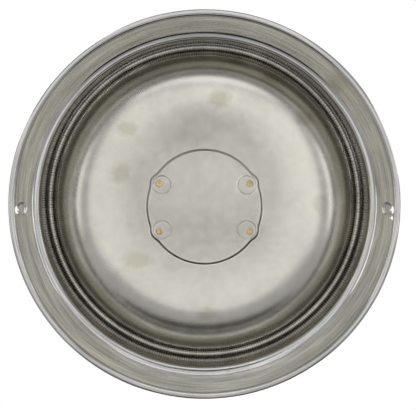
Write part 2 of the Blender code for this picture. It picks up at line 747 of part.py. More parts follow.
def build_top_end(parts, cutters, steel, weld, brushed):
    chime = turned("top_chime", top_chime_outline(), brushed, parts)
    slot = prism_cutter("handholds", handhold_outline(), -2 * CHIME_RADIUS, 2 * CHIME_RADIUS, cutters)
    slot.rotation_euler = (pi / 2, 0, 0)
    slot.location = (0, 0, KEG_HEIGHT - HANDHOLD_BELOW_TOP)
    boolean(chime, slot)
    radius, below_top = bead_place(TOP_KNUCKLE_BELOW_TOP)
    turned("top_weld_bead", bead_outline(radius, KEG_HEIGHT - below_top, WELD_BEAD_RADIUS), weld, parts)
    turned("top_dome", top_dome_outline(), steel, parts)
    turned("neck_fitting", neck_outline(), brushed, parts, SMALL_STEPS)
    crown = KEG_HEIGHT - CROWN_BELOW_TOP
    bead = NECK_WELD_RADIUS
    ring = bead_outline(NECK_OUTER_RADIUS + bead + GAP, crown + bead + GAP, bead)
    turned("neck_weld_bead", ring, weld, parts, SMALL_STEPS)


# ---------------------------------------------------------------- spear
def housing_outline():
    flange = NECK_BORE_RADIUS - HOUSING_CLEARANCE
    lip = HOUSING_FOOT + HOUSING_CRIMP_THICKNESS
    return [
        (HOUSING_SEAT_RADIUS + HOUSING_SEAT_CHAMFER, HOUSING_TOP),
        (flange, HOUSING_TOP),
        (flange, HOUSING_BASE),
        (HOUSING_OUTER_RADIUS, HOUSING_BASE),
        (HOUSING_OUTER_RADIUS, HOUSING_FOOT),
        (HOUSING_CRIMP_RADIUS, HOUSING_FOOT),
        (HOUSING_CRIMP_RADIUS, lip),
        (HOUSING_BORE_RADIUS, lip),
        (HOUSING_BORE_RADIUS, HOUSING_SEAT),
        (HOUSING_SEAT_RADIUS, HOUSING_SEAT),
        (HOUSING_SEAT_RADIUS, HOUSING_TOP - HOUSING_SEAT_CHAMFER),
    ]


def collar_outline():
    socket = DOWN_TUBE_RADIUS + GAP
    flange = COLLAR_TOP - COLLAR_FLANGE_THICKNESS
    return [
        (GAS_SEAL_RADIUS, COLLAR_TOP),
        (GAS_SEAL_RADIUS, flange),
        (COLLAR_RADIUS, flange),
        (COLLAR_RADIUS, COLLAR_FOOT),
        (socket, COLLAR_FOOT),
        (socket, COLLAR_LEDGE_BASE),
        (COLLAR_LEDGE_RADIUS, COLLAR_LEDGE_BASE),
        (COLLAR_LEDGE_RADIUS, COLLAR_LEDGE_TOP),
        (COLLAR_BORE_RADIUS, COLLAR_LEDGE_TOP),
        (COLLAR_BORE_RADIUS, COLLAR_TOP),
    ]


def gas_seal_outline():
    lip = GAS_SEAL_TOP - GAS_SEAL_LIP_THICKNESS
    bevel = GAS_SEAL_BEVEL
    return [
        (GAS_SEAL_LIP_RADIUS + bevel, GAS_SEAL_TOP),
        (GAS_SEAL_RADIUS - bevel, GAS_SEAL_TOP),
        (GAS_SEAL_RADIUS, GAS_SEAL_TOP - bevel),
        (GAS_SEAL_RADIUS, GAS_SEAL_BASE),
        (COLLAR_BORE_RADIUS, GAS_SEAL_BASE),
        (COLLAR_BORE_RADIUS, lip),
        (GAS_SEAL_LIP_RADIUS, lip),
        (GAS_SEAL_LIP_RADIUS, GAS_SEAL_TOP - bevel),
    ]


def down_tube_outline():
    top = COLLAR_LEDGE_BASE - GAP
    inner = DOWN_TUBE_RADIUS - DOWN_TUBE_WALL
    return [
        (DOWN_TUBE_RADIUS, top),
        (DOWN_TUBE_RADIUS, DOWN_TUBE_FOOT_HEIGHT),
        (inner, DOWN_TUBE_FOOT_HEIGHT),
        (inner, top),
    ]


def poppet_outline():
    crown = POPPET_TOP + GAS_SEAL_LIP_THICKNESS * POPPET_NOSE_SHARE
    nose = GAS_SEAL_LIP_RADIUS - 4 * GAP
    return [
        (0, crown),
        (nose - POPPET_NOSE_CHAMFER, crown),
        (nose, crown - POPPET_NOSE_CHAMFER),
        (nose, POPPET_TOP),
        (POPPET_RADIUS, POPPET_TOP),
        (POPPET_RADIUS, POPPET_BASE),
        (POPPET_STEM_RADIUS, POPPET_BASE),
        (POPPET_STEM_RADIUS, POPPET_FOOT + POPPET_STEM_CHAMFER),
        (POPPET_STEM_RADIUS - POPPET_STEM_CHAMFER, POPPET_FOOT),
        (0, POPPET_FOOT),
    ]


def build_spear(parts, cutters, brushed, rubber, spring_steel, polymer):
    steps = SMALL_STEPS
    housing = turned("spear_housing", housing_outline(), brushed, parts, steps, HOUSING_TOP)
    port_height = (HOUSING_FOOT + HOUSING_BASE) / 2
    for i in range(3):
        angle = pi / 3 * i
        place, tilt = (0, 0, port_height), (pi / 2, 0, angle)
        port = cylinder_cutter(
            f"gas_port_{i + 1}", GAS_PORT_DIAMETER / 2, GAS_PORT_CUT_LENGTH, place, tilt, cutters
        )
        boolean(housing, port)
    lug = LUG_SLOT_WIDTH / 2
    reach = LUG_SLOT_RADIUS
    depth = HOUSING_SEAT_THICKNESS * LUG_SLOT_SHARE
    slot = prism_cutter(
        "lug_slots",
        [(-reach, -lug), (reach, -lug), (reach, lug), (-reach, lug)],
        HOUSING_TOP - depth,
        HOUSING_TOP + depth,
        cutters,
    )
    boolean(housing, slot)

    seal_radius = (NECK_BORE_RADIUS + NECK_LEDGE_RADIUS) / 2
    seal = arc((seal_radius, NECK_LEDGE + SEAL_CORD_RADIUS + GAP), SEAL_CORD_RADIUS, 0, 2 * pi * 7 / 8, 7)
    turned("neck_seal", seal, rubber, parts, steps)

    middle = RETAINER_MIDDLE
    half = RETAINER_THICKNESS / 2
    outer = NECK_BORE_RADIUS + NECK_GROOVE_DEPTH - GAP
    inner = NECK_BORE_RADIUS - RETAINER_REACH
    ring = turned(
        "retaining_ring",
        [(outer, middle + half), (outer, middle - half), (inner, middle - half), (inner, middle + half)],
        spring_steel,
        parts,
        steps,
    )
    split = RETAINER_SPLIT / 2
    beyond = 2 * outer
    gap = prism_cutter(
        "retainer_split",
        [(0, -split), (beyond, -split), (beyond, split), (0, split)],
        middle - RETAINER_THICKNESS,
        middle + RETAINER_THICKNESS,
        cutters,
    )
    boolean(ring, gap)

    seat_hole = DOWN_TUBE_RADIUS + 2 * GAP
    seat = [
        (HOUSING_BORE_RADIUS - GAP, SPRING_SEAT_TOP),
        (HOUSING_BORE_RADIUS - GAP, SPRING_SEAT_BASE),
        (seat_hole, SPRING_SEAT_BASE),
        (seat_hole, SPRING_SEAT_TOP),
    ]
    turned("spring_seat", seat, brushed, parts, steps)

    slide = bpy.data.objects.new("gas_valve_axis", None)
    slide.location.z = GAS_SEAL_TOP
    parts.objects.link(slide)
    moving = [
        turned("gas_valve_seal", gas_seal_outline(), rubber, parts, steps, GAS_SEAL_TOP),
        turned("valve_collar", collar_outline(), brushed, parts, steps, GAS_SEAL_TOP),
        turned("down_tube", down_tube_outline(), brushed, parts, TUBE_STEPS, GAS_SEAL_TOP),
    ]
    for piece in moving:
        piece.parent = slide
        piece.location.z = 0
    turned("beer_poppet", poppet_outline(), polymer, parts, TUBE_STEPS, POPPET_TOP)

    small = (POPPET_SPRING_RADIUS, POPPET_SPRING_WIRE, COLLAR_LEDGE_TOP, POPPET_BASE, POPPET_SPRING_TURNS)
    coil("poppet_spring", *small, spring_steel, parts)
    flange = COLLAR_TOP - COLLAR_FLANGE_THICKNESS
    large = (MAIN_SPRING_RADIUS, MAIN_SPRING_WIRE, SPRING_SEAT_TOP, flange, MAIN_SPRING_TURNS)
    coil("main_spring", *large, spring_steel, parts)


def main():
    clear_scene()
    parts, cutters = collection("beer_keg"), collection("cutters")
    steel = material("blasted_steel", (0.56, 0.54, 0.50), 0.42, 1.0)
    brushed = material("brushed_steel", (0.60, 0.59, 0.56), 0.22, 1.0)
    weld = material("weld_metal", (0.42, 0.40, 0.38), 0.40, 1.0)
    spring_steel = material("spring_steel", (0.50, 0.50, 0.50), 0.30, 1.0)
    brass = material("brass", (0.62, 0.50, 0.26), 0.38, 1.0)
    rubber = material("black_rubber", (0.03, 0.03, 0.03), 0.65, 0.0)
    polymer = material("white_acetal", (0.75, 0.74, 0.70), 0.40, 0.0)
    build_bottom_end(parts, cutters, steel, weld, brushed, brass)
    build_body(parts, steel, weld)
    build_top_end(parts, cutters, steel, weld, brushed)
    build_spear(parts, cutters, brushed, rubber, spring_steel, polymer)


main()
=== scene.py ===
# %% [markdown]
# # A steel beer keg, seen from below
# The solid model gives every part its place and size. This notebook gives the parts their finished
# surfaces: fine turned meshes, pressed dimples, weld ripples, and steel that reflects a small studio.
# The keg stands on z = 0 and its axis is the Z axis. All lengths are in metres.

from math import asin, atan2, cos, pi, radians, sin, sqrt, tan

import bmesh
import bpy
import numpy as np
from mathutils import Matrix, Vector


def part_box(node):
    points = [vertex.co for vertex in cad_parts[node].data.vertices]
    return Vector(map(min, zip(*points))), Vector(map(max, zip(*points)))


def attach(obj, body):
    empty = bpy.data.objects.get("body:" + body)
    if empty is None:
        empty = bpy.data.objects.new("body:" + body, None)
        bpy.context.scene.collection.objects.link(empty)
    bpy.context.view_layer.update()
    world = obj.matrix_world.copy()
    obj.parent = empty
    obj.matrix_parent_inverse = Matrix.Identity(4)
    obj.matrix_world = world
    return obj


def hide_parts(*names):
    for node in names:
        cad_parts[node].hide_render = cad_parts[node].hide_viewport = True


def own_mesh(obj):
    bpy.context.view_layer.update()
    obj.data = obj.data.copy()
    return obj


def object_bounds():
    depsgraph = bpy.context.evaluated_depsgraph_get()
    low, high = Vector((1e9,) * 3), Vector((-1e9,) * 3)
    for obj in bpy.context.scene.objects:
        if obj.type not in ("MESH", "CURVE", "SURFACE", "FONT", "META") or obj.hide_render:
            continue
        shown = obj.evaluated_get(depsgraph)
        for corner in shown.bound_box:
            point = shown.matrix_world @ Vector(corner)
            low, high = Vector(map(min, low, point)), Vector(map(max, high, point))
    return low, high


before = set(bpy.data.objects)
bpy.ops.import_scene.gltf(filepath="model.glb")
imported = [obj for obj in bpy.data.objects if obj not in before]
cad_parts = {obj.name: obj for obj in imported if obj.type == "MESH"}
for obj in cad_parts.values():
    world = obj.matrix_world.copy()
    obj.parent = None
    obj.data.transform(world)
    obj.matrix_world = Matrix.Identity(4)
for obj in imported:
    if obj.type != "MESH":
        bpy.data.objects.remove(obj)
cad_low, cad_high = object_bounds()

# %% [markdown]
# ## Sizes taken from the solid model
# A turned part is symmetric about Z, so the box of a node already tells its radius and its two heights.
# Reading them here means that a change in the model moves the fine meshes too.


# %% Measure the parts that will be remade
def span(node):
    """Outer radius, lowest and highest point of a turned node."""
    low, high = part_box(node)
    return high[0], low[2], high[2]


CHIME_RADIUS = cad_high[0]
KEG_HEIGHT = cad_high[2]
BODY_RADIUS = span("bottom_dome")[0]
CHIME_TOP = span("bottom_chime")[2]
DOME_RIM = span("bottom_dome")[2]
BODY_BASE, BODY_TOP = span("body_shell")[1:]
NECK_RADIUS, NECK_BASE, NECK_TOP = span("neck_fitting")
print(f"chime {CHIME_RADIUS:.4f}, body {BODY_RADIUS:.4f}, height {KEG_HEIGHT:.4f}")

# %% [markdown]
# ## Outlines
# A turned part starts as a line of (radius, height) points. Sheet metal has no sharp corners, so each
# corner gets a small arc: polished steel shows its shape by the thin highlights that run along them.


# %% Line tools
def arc(centre, radius, start, end, pieces):
    """Points on a circle between two angles, measured from the outward direction."""
    angles = np.linspace(start, end, pieces + 1)
    return [(centre[0] + radius * cos(a), centre[1] + radius * sin(a)) for a in angles]


def bezier(start, first, second, end, pieces):
    """Points on a cubic curve, with its ends."""
    t = np.linspace(0, 1, pieces + 1)[:, None]
    four = [np.array(p) for p in (start, first, second, end)]
    weights = ((1 - t) ** 3, 3 * t * (1 - t) ** 2, 3 * t * t * (1 - t), t**3)
    return [tuple(p) for p in sum(w * p for w, p in zip(weights, four))]


def rounded(points, fillets, pieces=5):
    """The same open line with a curve at each inner corner, shortened where the corner is tight."""
    line = [points[0]]
    for before, corner, after, fillet in zip(points, points[1:], points[2:], fillets):
        here, back, on = (np.array(p) for p in (corner, before, after))
        to_back, to_on = back - here, on - here
        reach = min(fillet, 0.49 * np.hypot(*to_back), 0.49 * np.hypot(*to_on))
        start = here + to_back / np.hypot(*to_back) * reach
        end = here + to_on / np.hypot(*to_on) * reach
        first, second = here * 0.55 + start * 0.45, here * 0.55 + end * 0.45
        line += bezier(start, first, second, end, pieces)
    return line + [points[-1]]


def offset(points, distance):
    """The line moved sideways, to the left of its direction."""
    line = np.array(points)
    steps = np.diff(line, axis=0)
    steps /= np.linalg.norm(steps, axis=1)[:, None]
    along = np.vstack([steps[:1], steps[:-1] + steps[1:], steps[-1:]])
    along /= np.linalg.norm(along, axis=1)[:, None]
    sharpness = np.ones(len(line))
    sharpness[1:-1] = np.clip(np.sum(along[1:-1] * steps[1:], axis=1), 0.5, 1)
    moved = line + distance * np.column_stack([-along[:, 1], along[:, 0]]) / sharpness[:, None]
    moved[line[:, 0] == 0, 0] = 0
    return [tuple(p) for p in moved]


def divided(points, longest):
    """The line with more points, so that no piece of it is longer than asked."""
    line = [points[0]]
    for start, end in zip(points, points[1:]):
        count = max(1, int(np.ceil(np.hypot(end[0] - start[0], end[1] - start[1]) / longest)))
        for i in range(1, count + 1):
            line.append(tuple(np.array(start) + (np.array(end) - np.array(start)) * i / count))
    return line


def flipped(points):
    """The outline turned upside down about the middle of the keg."""
    return [(r, KEG_HEIGHT - z) for r, z in points]


# %% [markdown]
# ## Meshes from rings
# A Screw modifier turns a line into a round part, but it spaces its steps evenly. Joining rings of points
# in code lets a ring leave the circle, as round the centre disc's ears, and lets the steps be closer
# together where a dimple is pressed in. Every mesh below is such a stack of rings.

# %% Ring tools
STEPS = 256


def even_angles(count=STEPS):
    return np.linspace(0, 2 * pi, count, endpoint=False)


def angles_finer_at(places, half_width, fine, count=STEPS):
    """Even angles, with closer ones near the given places. All are in radians."""
    angles = list(even_angles(count))
    for place in places:
        angles = [a for a in angles if abs((a - place + pi) % (2 * pi) - pi) > half_width]
        angles += list((place + np.arange(-half_width, half_width + fine / 2, fine)) % (2 * pi))
    return np.sort(np.array(angles))


def circle_ring(radius, height, angles):
    return np.column_stack([radius * np.cos(angles), radius * np.sin(angles), np.full(len(angles), height)])


def skin(name, rings, closed=True):
    """A mesh from rings with the same number of points. Closed joins the last ring to the first."""
    count, around = len(rings), len(rings[0])
    points = np.vstack(rings)
    index = np.arange(count * around).reshape(count, around)
    upper = index if closed else index[:-1]
    lower = np.roll(index, -1, axis=0) if closed else index[1:]
    quads = np.stack([upper, np.roll(upper, -1, axis=1), np.roll(lower, -1, axis=1), lower], axis=-1)
    mesh = bpy.data.meshes.new(name)
    mesh.from_pydata(points.tolist(), [], quads.reshape(-1, 4).tolist())
    cage = bmesh.new()
    cage.from_mesh(mesh)
    bmesh.ops.remove_doubles(cage, verts=cage.verts, dist=1e-7)
    bmesh.ops.recalc_face_normals(cage, faces=cage.faces)
    cage.to_mesh(mesh)
    cage.free()
    made = bpy.data.objects.new(name, mesh)
    bpy.context.scene.collection.objects.link(made)
    return made


def turned(name, outline, angles=None):
    """A round part from a closed outline, or from one that starts and ends on the axis."""
    angles = even_angles() if angles is None else angles
    rings = [circle_ring(r, z, angles) for r, z in outline]
    return skin(name, rings, closed=outline[0][0] > 0)


def smooth(piece, sharp_from=35):
    """Rounded shading, with a crisp edge where faces meet at more than the angle in degrees."""
    piece.data.shade_smooth()
    piece.data.set_sharp_from_angle(angle=radians(sharp_from))
    return piece


def cut(piece, cutter):
    """Takes the cutter out of the piece, and removes the cutter."""
    change = piece.modifiers.new("cut", "BOOLEAN")
    change.object = cutter
    change.solver = "EXACT"
    bpy.context.view_layer.update()
    mesh = bpy.data.meshes.new_from_object(piece.evaluated_get(bpy.context.evaluated_depsgraph_get()))
    piece.modifiers.clear()
    old = piece.data
    piece.data = mesh
    mesh.name = piece.name
    bpy.data.meshes.remove(old)
    bpy.data.objects.remove(cutter, do_unlink=True)
    return piece


def rod(radius, length, place, direction, sides=40):
    """A plain cylinder that is only used as a cutter."""
    mesh = bpy.data.meshes.new("rod")
    cage = bmesh.new()
    bmesh.ops.create_cone(cage, cap_ends=True, segments=sides, radius1=radius, radius2=radius, depth=length)
    cage.to_mesh(mesh)
    cage.free()
    made = bpy.data.objects.new("rod", mesh)
    made.rotation_mode = "QUATERNION"
    made.rotation_quaternion = Vector(direction).to_track_quat("Z", "Y")
    made.location = place
    bpy.context.scene.collection.objects.link(made)
    return made


def finish_piece(piece, body, slot, look, *nodes):
    """Hangs the piece on the body that it moves with, gives it its material, and hides the solids that it
    replaces.
    """
    piece.data.materials.clear()
    piece.data.materials.append(look)
    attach(piece, body)
    if nodes:
        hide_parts(*nodes)
    print(f"{piece.name}: {len(piece.data.vertices)} points, rides on {body}")
    return piece


# %% [markdown]
# ## Shader maths
# A finish is easier to read as a sum than as a web of nodes. This class holds one output of a node, and
# the usual operators add Math nodes to it, so `1 - mask` works. Colours go through Mix nodes instead,
# because a Math node would turn a colour grey.


# %% A socket that can be calculated with
class Value:
    def __init__(self, finish, output):
        self.finish, self.output = finish, output

    def maths(self, operation, *others, **settings):
        terms = dict(enumerate((self, *others)))
        return self.finish.node("ShaderNodeMath", {"operation": operation, **settings}, terms)

    def __add__(self, other):
        return self.maths("ADD", other)

    def __radd__(self, other):
        return self.maths("ADD", other)

    def __mul__(self, other):
        return self.maths("MULTIPLY", other)

    def __rmul__(self, other):
        return self.maths("MULTIPLY", other)

    def __sub__(self, other):
        return self.maths("SUBTRACT", other)

    def __rsub__(self, other):
        return self.finish.node("ShaderNodeMath", {"operation": "SUBTRACT"}, {0: other, 1: self})

    def __truediv__(self, other):
        return self.maths("DIVIDE", other)

    def __pow__(self, other):
        return self.maths("POWER", other)


# %% A material under construction
class Finish:
    """One material. Each method adds to its node tree and gives back what it made."""

    def __init__(self, name):
        self.material = bpy.data.materials.new(name)
        self.material.use_nodes = True
        self.tree = self.material.node_tree
        self.shader = self.tree.nodes["Principled BSDF"]
        place = self.node("ShaderNodeTexCoord", output="Object")
        self.place = place
        split = {axis: self.node("ShaderNodeSeparateXYZ", inputs={0: place}, output=axis) for axis in "XYZ"}
        self.x, self.y, self.z = split["X"], split["Y"], split["Z"]
        self.radius = (self.x * self.x + self.y * self.y + 1e-9) ** 0.5

    def node(self, kind, settings=None, inputs=None, output=0):
        """Adds a node of a type, sets its settings, then fills its inputs with numbers, colours or links."""
        made = self.tree.nodes.new(kind)
        for name, setting in (settings or {}).items():
            if name == "stops":
                self.set_stops(made.color_ramp, setting)
            else:
                setattr(made, name, setting)
        for key, value in (inputs or {}).items():
            self.fill(made.inputs[key], value)
        return Value(self, made.outputs[output])

    def set_stops(self, ramp, stops):
        while len(ramp.elements) < len(stops):
            ramp.elements.new(1.0)
        for element, (position, shade) in zip(ramp.elements, stops):
            element.position = position
            element.color = (shade, shade, shade, 1) if isinstance(shade, (int, float)) else (*shade, 1)

    def fill(self, socket, value):
        if isinstance(value, Value):
            self.tree.links.new(value.output, socket)
        elif isinstance(value, tuple) and len(value) == 3 and socket.type == "RGBA":
            socket.default_value = (*value, 1)
        else:
            socket.default_value = value

    def vector(self, x, y, z):
        return self.node("ShaderNodeCombineXYZ", inputs={0: x, 1: y, 2: z})

    def noise(self, scale, detail=3.0, roughness=0.5, vector=None):
        """Soft random values from 0 to 1."""
        inputs = {"Vector": vector or self.place, "Scale": scale, "Detail": detail, "Roughness": roughness}
        return self.node("ShaderNodeTexNoise", inputs=inputs)

    def ramp(self, value, *stops):
        """The value run through a curve of (position, shade) stops."""
        return self.node("ShaderNodeValToRGB", {"stops": stops}, {0: value})

    def band(self, value, low, high):
        """0 below low, 1 above high, and a straight way between. Low above high turns it round."""
        inputs = {"Value": value, "From Min": low, "From Max": high}
        return self.node("ShaderNodeMapRange", {"clamp": True}, inputs)

    def blend(self, share, first, second, kind="MIX"):
        """Mixes two colours."""
        inputs = {"Factor": share, "A": first, "B": second}
        made = self.tree.nodes.new("ShaderNodeMix")
        made.data_type, made.blend_type = "RGBA", kind
        sockets = {"Factor": made.inputs[0], "A": made.inputs[6], "B": made.inputs[7]}
        for name, value in inputs.items():
            self.fill(sockets[name], value)
        return Value(self, made.outputs[2])

    def around(self, turns, across):
        """A place for noise that runs in long streaks round the keg's axis."""
        stretched = (self.radius + self.z * 0.83) * across
        return self.vector(self.x / self.radius * turns, self.y / self.radius * turns, stretched)

    def bump(self, height, strength, distance):
        inputs = {"Height": height, "Strength": strength, "Distance": distance}
        return self.node("ShaderNodeBump", inputs=inputs, output="Normal")

    def surface(self, **sockets):
        """Fills the shader's own sockets, named with underscores for spaces, and gives the material."""
        for name, value in sockets.items():
            self.fill(self.shader.inputs[name.replace("_", " ").title().replace("Ior", "IOR")], value)
        return self.material


# %% [markdown]
# ## Steel finishes
# The vessel is bead blasted and pickled: a soft, warm grey satin with a fine grain and faint tea-coloured
# marks where drops have dried. The chimes are spun and polished, so their scratches run round the keg and
# the polish shows between them. Both are one metal: only roughness, grain and stains tell them apart.

# %% Bead-blasted steel
SATIN_LIGHT = (0.70, 0.675, 0.605)
SATIN_DARK = (0.58, 0.558, 0.50)
STAIN = (0.44, 0.385, 0.29)
# Across, along, long and short radius, and strength of each dried drop on the base
DRIED_DROPS = [
    (0.015, -0.112, 0.013, 0.009, 0.55),
    (-0.080, -0.082, 0.012, 0.008, 0.45),
    (-0.086, -0.036, 0.010, 0.011, 0.50),
    (-0.071, 0.055, 0.016, 0.010, 0.35),
    (0.004, 0.113, 0.013, 0.008, 0.45),
    (0.121, -0.004, 0.009, 0.012, 0.35),
    (0.104, -0.092, 0.011, 0.008, 0.45),
    (0.035, -0.155, 0.011, 0.006, 0.55),
    (0.070, -0.136, 0.012, 0.007, 0.45),
    (-0.040, 0.128, 0.014, 0.008, 0.30),
]


def blasted_steel(name, drops=()):
    f = Finish(name)
    cloud = f.noise(14, 4, 0.6)
    fine_cloud = f.noise(75, 3, 0.6)
    tone = f.band(cloud * 0.7 + fine_cloud * 0.3, 0.35, 0.65)
    colour = f.blend(tone, SATIN_DARK, SATIN_LIGHT)
    for x, y, wide, high, strength in drops:
        wobble = (f.noise(160, 2) - 0.5) * 0.8
        away = (((f.x - x) / wide) ** 2 + ((f.y - y) / high) ** 2) ** 0.5 + wobble
        mark = f.band(away, 1.15, 0.55) * strength * f.band(f.z, 0.10, 0.09)
        colour = f.blend(mark, colour, STAIN)
    grain = f.noise(2600, 2, 0.6)
    coarse = f.noise(420, 2, 0.5)
    rough = 0.21 + fine_cloud * 0.07 + (grain - 0.5) * 0.08
    relief = f.bump(grain * 0.7 + coarse * 0.5, 0.35, 0.00012)
    return f.surface(base_color=colour, metallic=1.0, roughness=rough, normal=relief)


base_steel = blasted_steel("base_blasted_steel", DRIED_DROPS)
body_steel = blasted_steel("body_blasted_steel")
print("finishes:", base_steel.name, body_steel.name)

# %% Polished steel with scratches that run round
POLISH_LIGHT = (0.74, 0.73, 0.70)
POLISH_DARK = (0.30, 0.295, 0.285)


def polished_steel(name, rough=0.06, depth=1.0):
    f = Finish(name)
    fine = f.noise(1.0, 4, 0.7, f.around(3.0, 2400))
    broad = f.noise(1.0, 3, 0.6, f.around(2.0, 520))
    patch = f.noise(22, 3, 0.6)
    streak = f.band(fine * 0.6 + broad * 0.4, 0.33, 0.67)
    colour = f.blend(streak, POLISH_DARK, POLISH_LIGHT)
    roughness = rough + (1 - streak) * 0.09 + patch * 0.05
    relief = f.bump(fine * 0.6 + broad * 0.8, 0.35 * depth, 0.00022)
    return f.surface(base_color=colour, metallic=1.0, roughness=roughness, normal=relief)


chime_steel = polished_steel("chime_polished_steel")
fitting_steel = polished_steel("fitting_polished_steel", rough=0.18, depth=0.4)
print("finishes:", chime_steel.name, fitting_steel.name)

# %% [markdown]
# ## Weld, brass, rubber and plastic
# A machine-laid weld shows fine even ripples across its bead and a straw to brown tint beside it. The
# brass inserts are dull from age. Rubber and acetal are the only pieces here that aren't metal.


# %% Small finishes
def weld_metal(name, ripples=420):
    f = Finish(name)
    turn = f.node("ShaderNodeMath", {"operation": "ARCTAN2"}, {0: f.y, 1: f.x})
    wobble = f.noise(90, 2) * 1.6
    wave = (turn * ripples + wobble * 2).maths("SINE") * 0.5 + 0.5
    tint = f.noise(30, 3)
    colour = f.blend(f.band(tint, 0.4, 0.65), (0.42, 0.40, 0.37), (0.60, 0.57, 0.52))
    rough = 0.24 + wave * 0.14
    relief = f.bump(wave + f.noise(900, 2) * 0.4, 0.5, 0.0003)
    return f.surface(base_color=colour, metallic=1.0, roughness=rough, normal=relief)


def brass(name):
    f = Finish(name)
    dirt = f.band(f.noise(700, 3, 0.6), 0.42, 0.7)
    colour = f.blend(dirt, (0.80, 0.66, 0.36), (0.42, 0.32, 0.17))
    rough = 0.34 + dirt * 0.22
    relief = f.bump(f.noise(2200, 2), 0.3, 0.0001)
    return f.surface(base_color=colour, metallic=1.0, roughness=rough, normal=relief)


def black_rubber(name):
    f = Finish(name)
    dust = f.band(f.noise(260, 4, 0.7), 0.5, 0.8)
    colour = f.blend(dust, (0.016, 0.016, 0.017), (0.055, 0.053, 0.05))
    rough = 0.52 + dust * 0.2
    relief = f.bump(f.noise(1800, 2), 0.25, 0.0001)
    return f.surface(base_color=colour, metallic=0.0, roughness=rough, normal=relief)


def white_acetal(name):
    f = Finish(name)
    tone = f.noise(120, 3)
    colour = f.blend(tone, (0.78, 0.77, 0.72), (0.70, 0.69, 0.63))
    rough = 0.34 + tone * 0.12
    relief = f.bump(f.noise(1.0, 2, 0.5, f.around(2.0, 1500)), 0.2, 0.0001)
    return f.surface(base_color=colour, metallic=0.0, roughness=rough, normal=relief)


def spring_wire(name):
    f = Finish(name)
    tone = f.noise(300, 3)
    colour = f.blend(tone, (0.46, 0.46, 0.46), (0.62, 0.61, 0.60))
    rough = 0.22 + tone * 0.16
    relief = f.bump(f.noise(1500, 2), 0.2, 0.0001)
    return f.surface(base_color=colour, metallic=1.0, roughness=rough, normal=relief)


weld_look, brass_look = weld_metal("weld_metal"), brass("dull_brass")
rubber_look = black_rubber("black_rubber")
acetal_look, spring_look = white_acetal("white_acetal"), spring_wire("spring_wire")
print("finishes:", weld_look.name, brass_look.name, rubber_look.name, acetal_look.name, spring_look.name)

# %% [markdown]
# ## Bottom chime
# The ring that the keg stands on is spun from one strip: an upright wall, a narrow ledge, a sloping
# flange and a rolled lip. Near each drain hole the flange is pressed in a little, so the angles are
# closer together there and the points are pushed along the flange's normal.

# %% Where the chime, dome and weld meet
CHIME_WALL = 0.0022
CHIME_BORE = 0.1722
LIP_RADIUS = 0.0034
LIP_FLAT = 0.0016
LEDGE_HEIGHT = 0.0265
LEDGE_WIDTH = 0.0048
LEDGE_ROUND = 0.0012
LEDGE_START = (CHIME_BORE + LEDGE_ROUND, LEDGE_HEIGHT + LEDGE_ROUND)
LEDGE_END = (LEDGE_START[0] + LEDGE_WIDTH, LEDGE_HEIGHT)


def rolled_lip():
    """The lip from its inner side round to its back, with the narrow flat that it stands on."""
    half = asin(LIP_FLAT / 2 / LIP_RADIUS)
    centre = (CHIME_RADIUS - LIP_RADIUS, LIP_RADIUS * cos(half))
    inner = arc(centre, LIP_RADIUS, radians(168), 1.5 * pi - half, 10)
    return inner + arc(centre, LIP_RADIUS, 1.5 * pi + half, radians(470), 22)


LIP = rolled_lip()
FLANGE_SLOPE = atan2(LEDGE_END[1] - LIP[0][1], LIP[0][0] - LEDGE_END[0])
print(f"the flange slopes at {FLANGE_SLOPE * 180 / pi:.1f} degrees")

# %% Outline of the bottom chime
COVE_DEPTH = 0.0007


def bottom_chime_face():
    """The face that is seen from below, from the top of the wall down to the lip."""
    middle = ((LEDGE_END[0] + LIP[0][0]) / 2, (LEDGE_END[1] + LIP[0][1]) / 2)
    hollow = (middle[0] + COVE_DEPTH * sin(FLANGE_SLOPE), middle[1] + COVE_DEPTH * cos(FLANGE_SLOPE))
    corners = [
        (CHIME_BORE, CHIME_TOP),
        (CHIME_BORE, LEDGE_START[1] + 4 * LEDGE_ROUND),
        LEDGE_START,
        LEDGE_END,
        hollow,
        (LIP[0][0] - 0.0001, LIP[0][1] + 0.0004),
    ]
    return rounded(corners, (0.004, 0.0016, 0.0024, 0.009))


def bottom_chime_outline():
    face = divided(bottom_chime_face(), 0.0012)
    back = offset(face, CHIME_WALL)
    return face + LIP + back[::-1]


# %% Press the dimples and make the holes
DRAIN_RADIUS = 0.004
DRAIN_FROM_LIP = 0.0016
DIMPLE_OFFSET = 0.0068
DIMPLE_RADIUS = 0.0078
DIMPLE_DEPTH = 0.0011
VENT_RADIUS = 0.0026
VENT_SPACING = 0.0085
HOLE_PLACE = CHIME_RADIUS - 2 * LIP_RADIUS - DRAIN_FROM_LIP
HOLE_HEIGHT = LIP_RADIUS + DRAIN_FROM_LIP * tan(FLANGE_SLOPE)


def step_up(share):
    """A smooth step from 0 to 1."""
    share = np.clip(share, 0, 1)
    return share * share * (3 - 2 * share)


def press_flange(piece):
    """Pushes the flange's points away from the viewer round each drain hole."""
    points = np.array([v.co for v in piece.data.vertices])
    across = HOLE_PLACE - DIMPLE_OFFSET * cos(FLANGE_SLOPE)
    up = HOLE_HEIGHT + DIMPLE_OFFSET * sin(FLANGE_SLOPE)
    for side in (-1, 1):
        centre = np.array([side * across, 0, up])
        push = np.array([side * sin(FLANGE_SLOPE), 0, cos(FLANGE_SLOPE)])
        away = np.linalg.norm(points - centre, axis=1)
        on_flange = np.hypot(points[:, 0], points[:, 1]) < LIP[0][0] - 0.0002
        depth = DIMPLE_DEPTH * step_up((DIMPLE_RADIUS - away) / (0.42 * DIMPLE_RADIUS)) * on_flange
        points += depth[:, None] * push
    piece.data.vertices.foreach_set("co", points.ravel())
    piece.data.update()


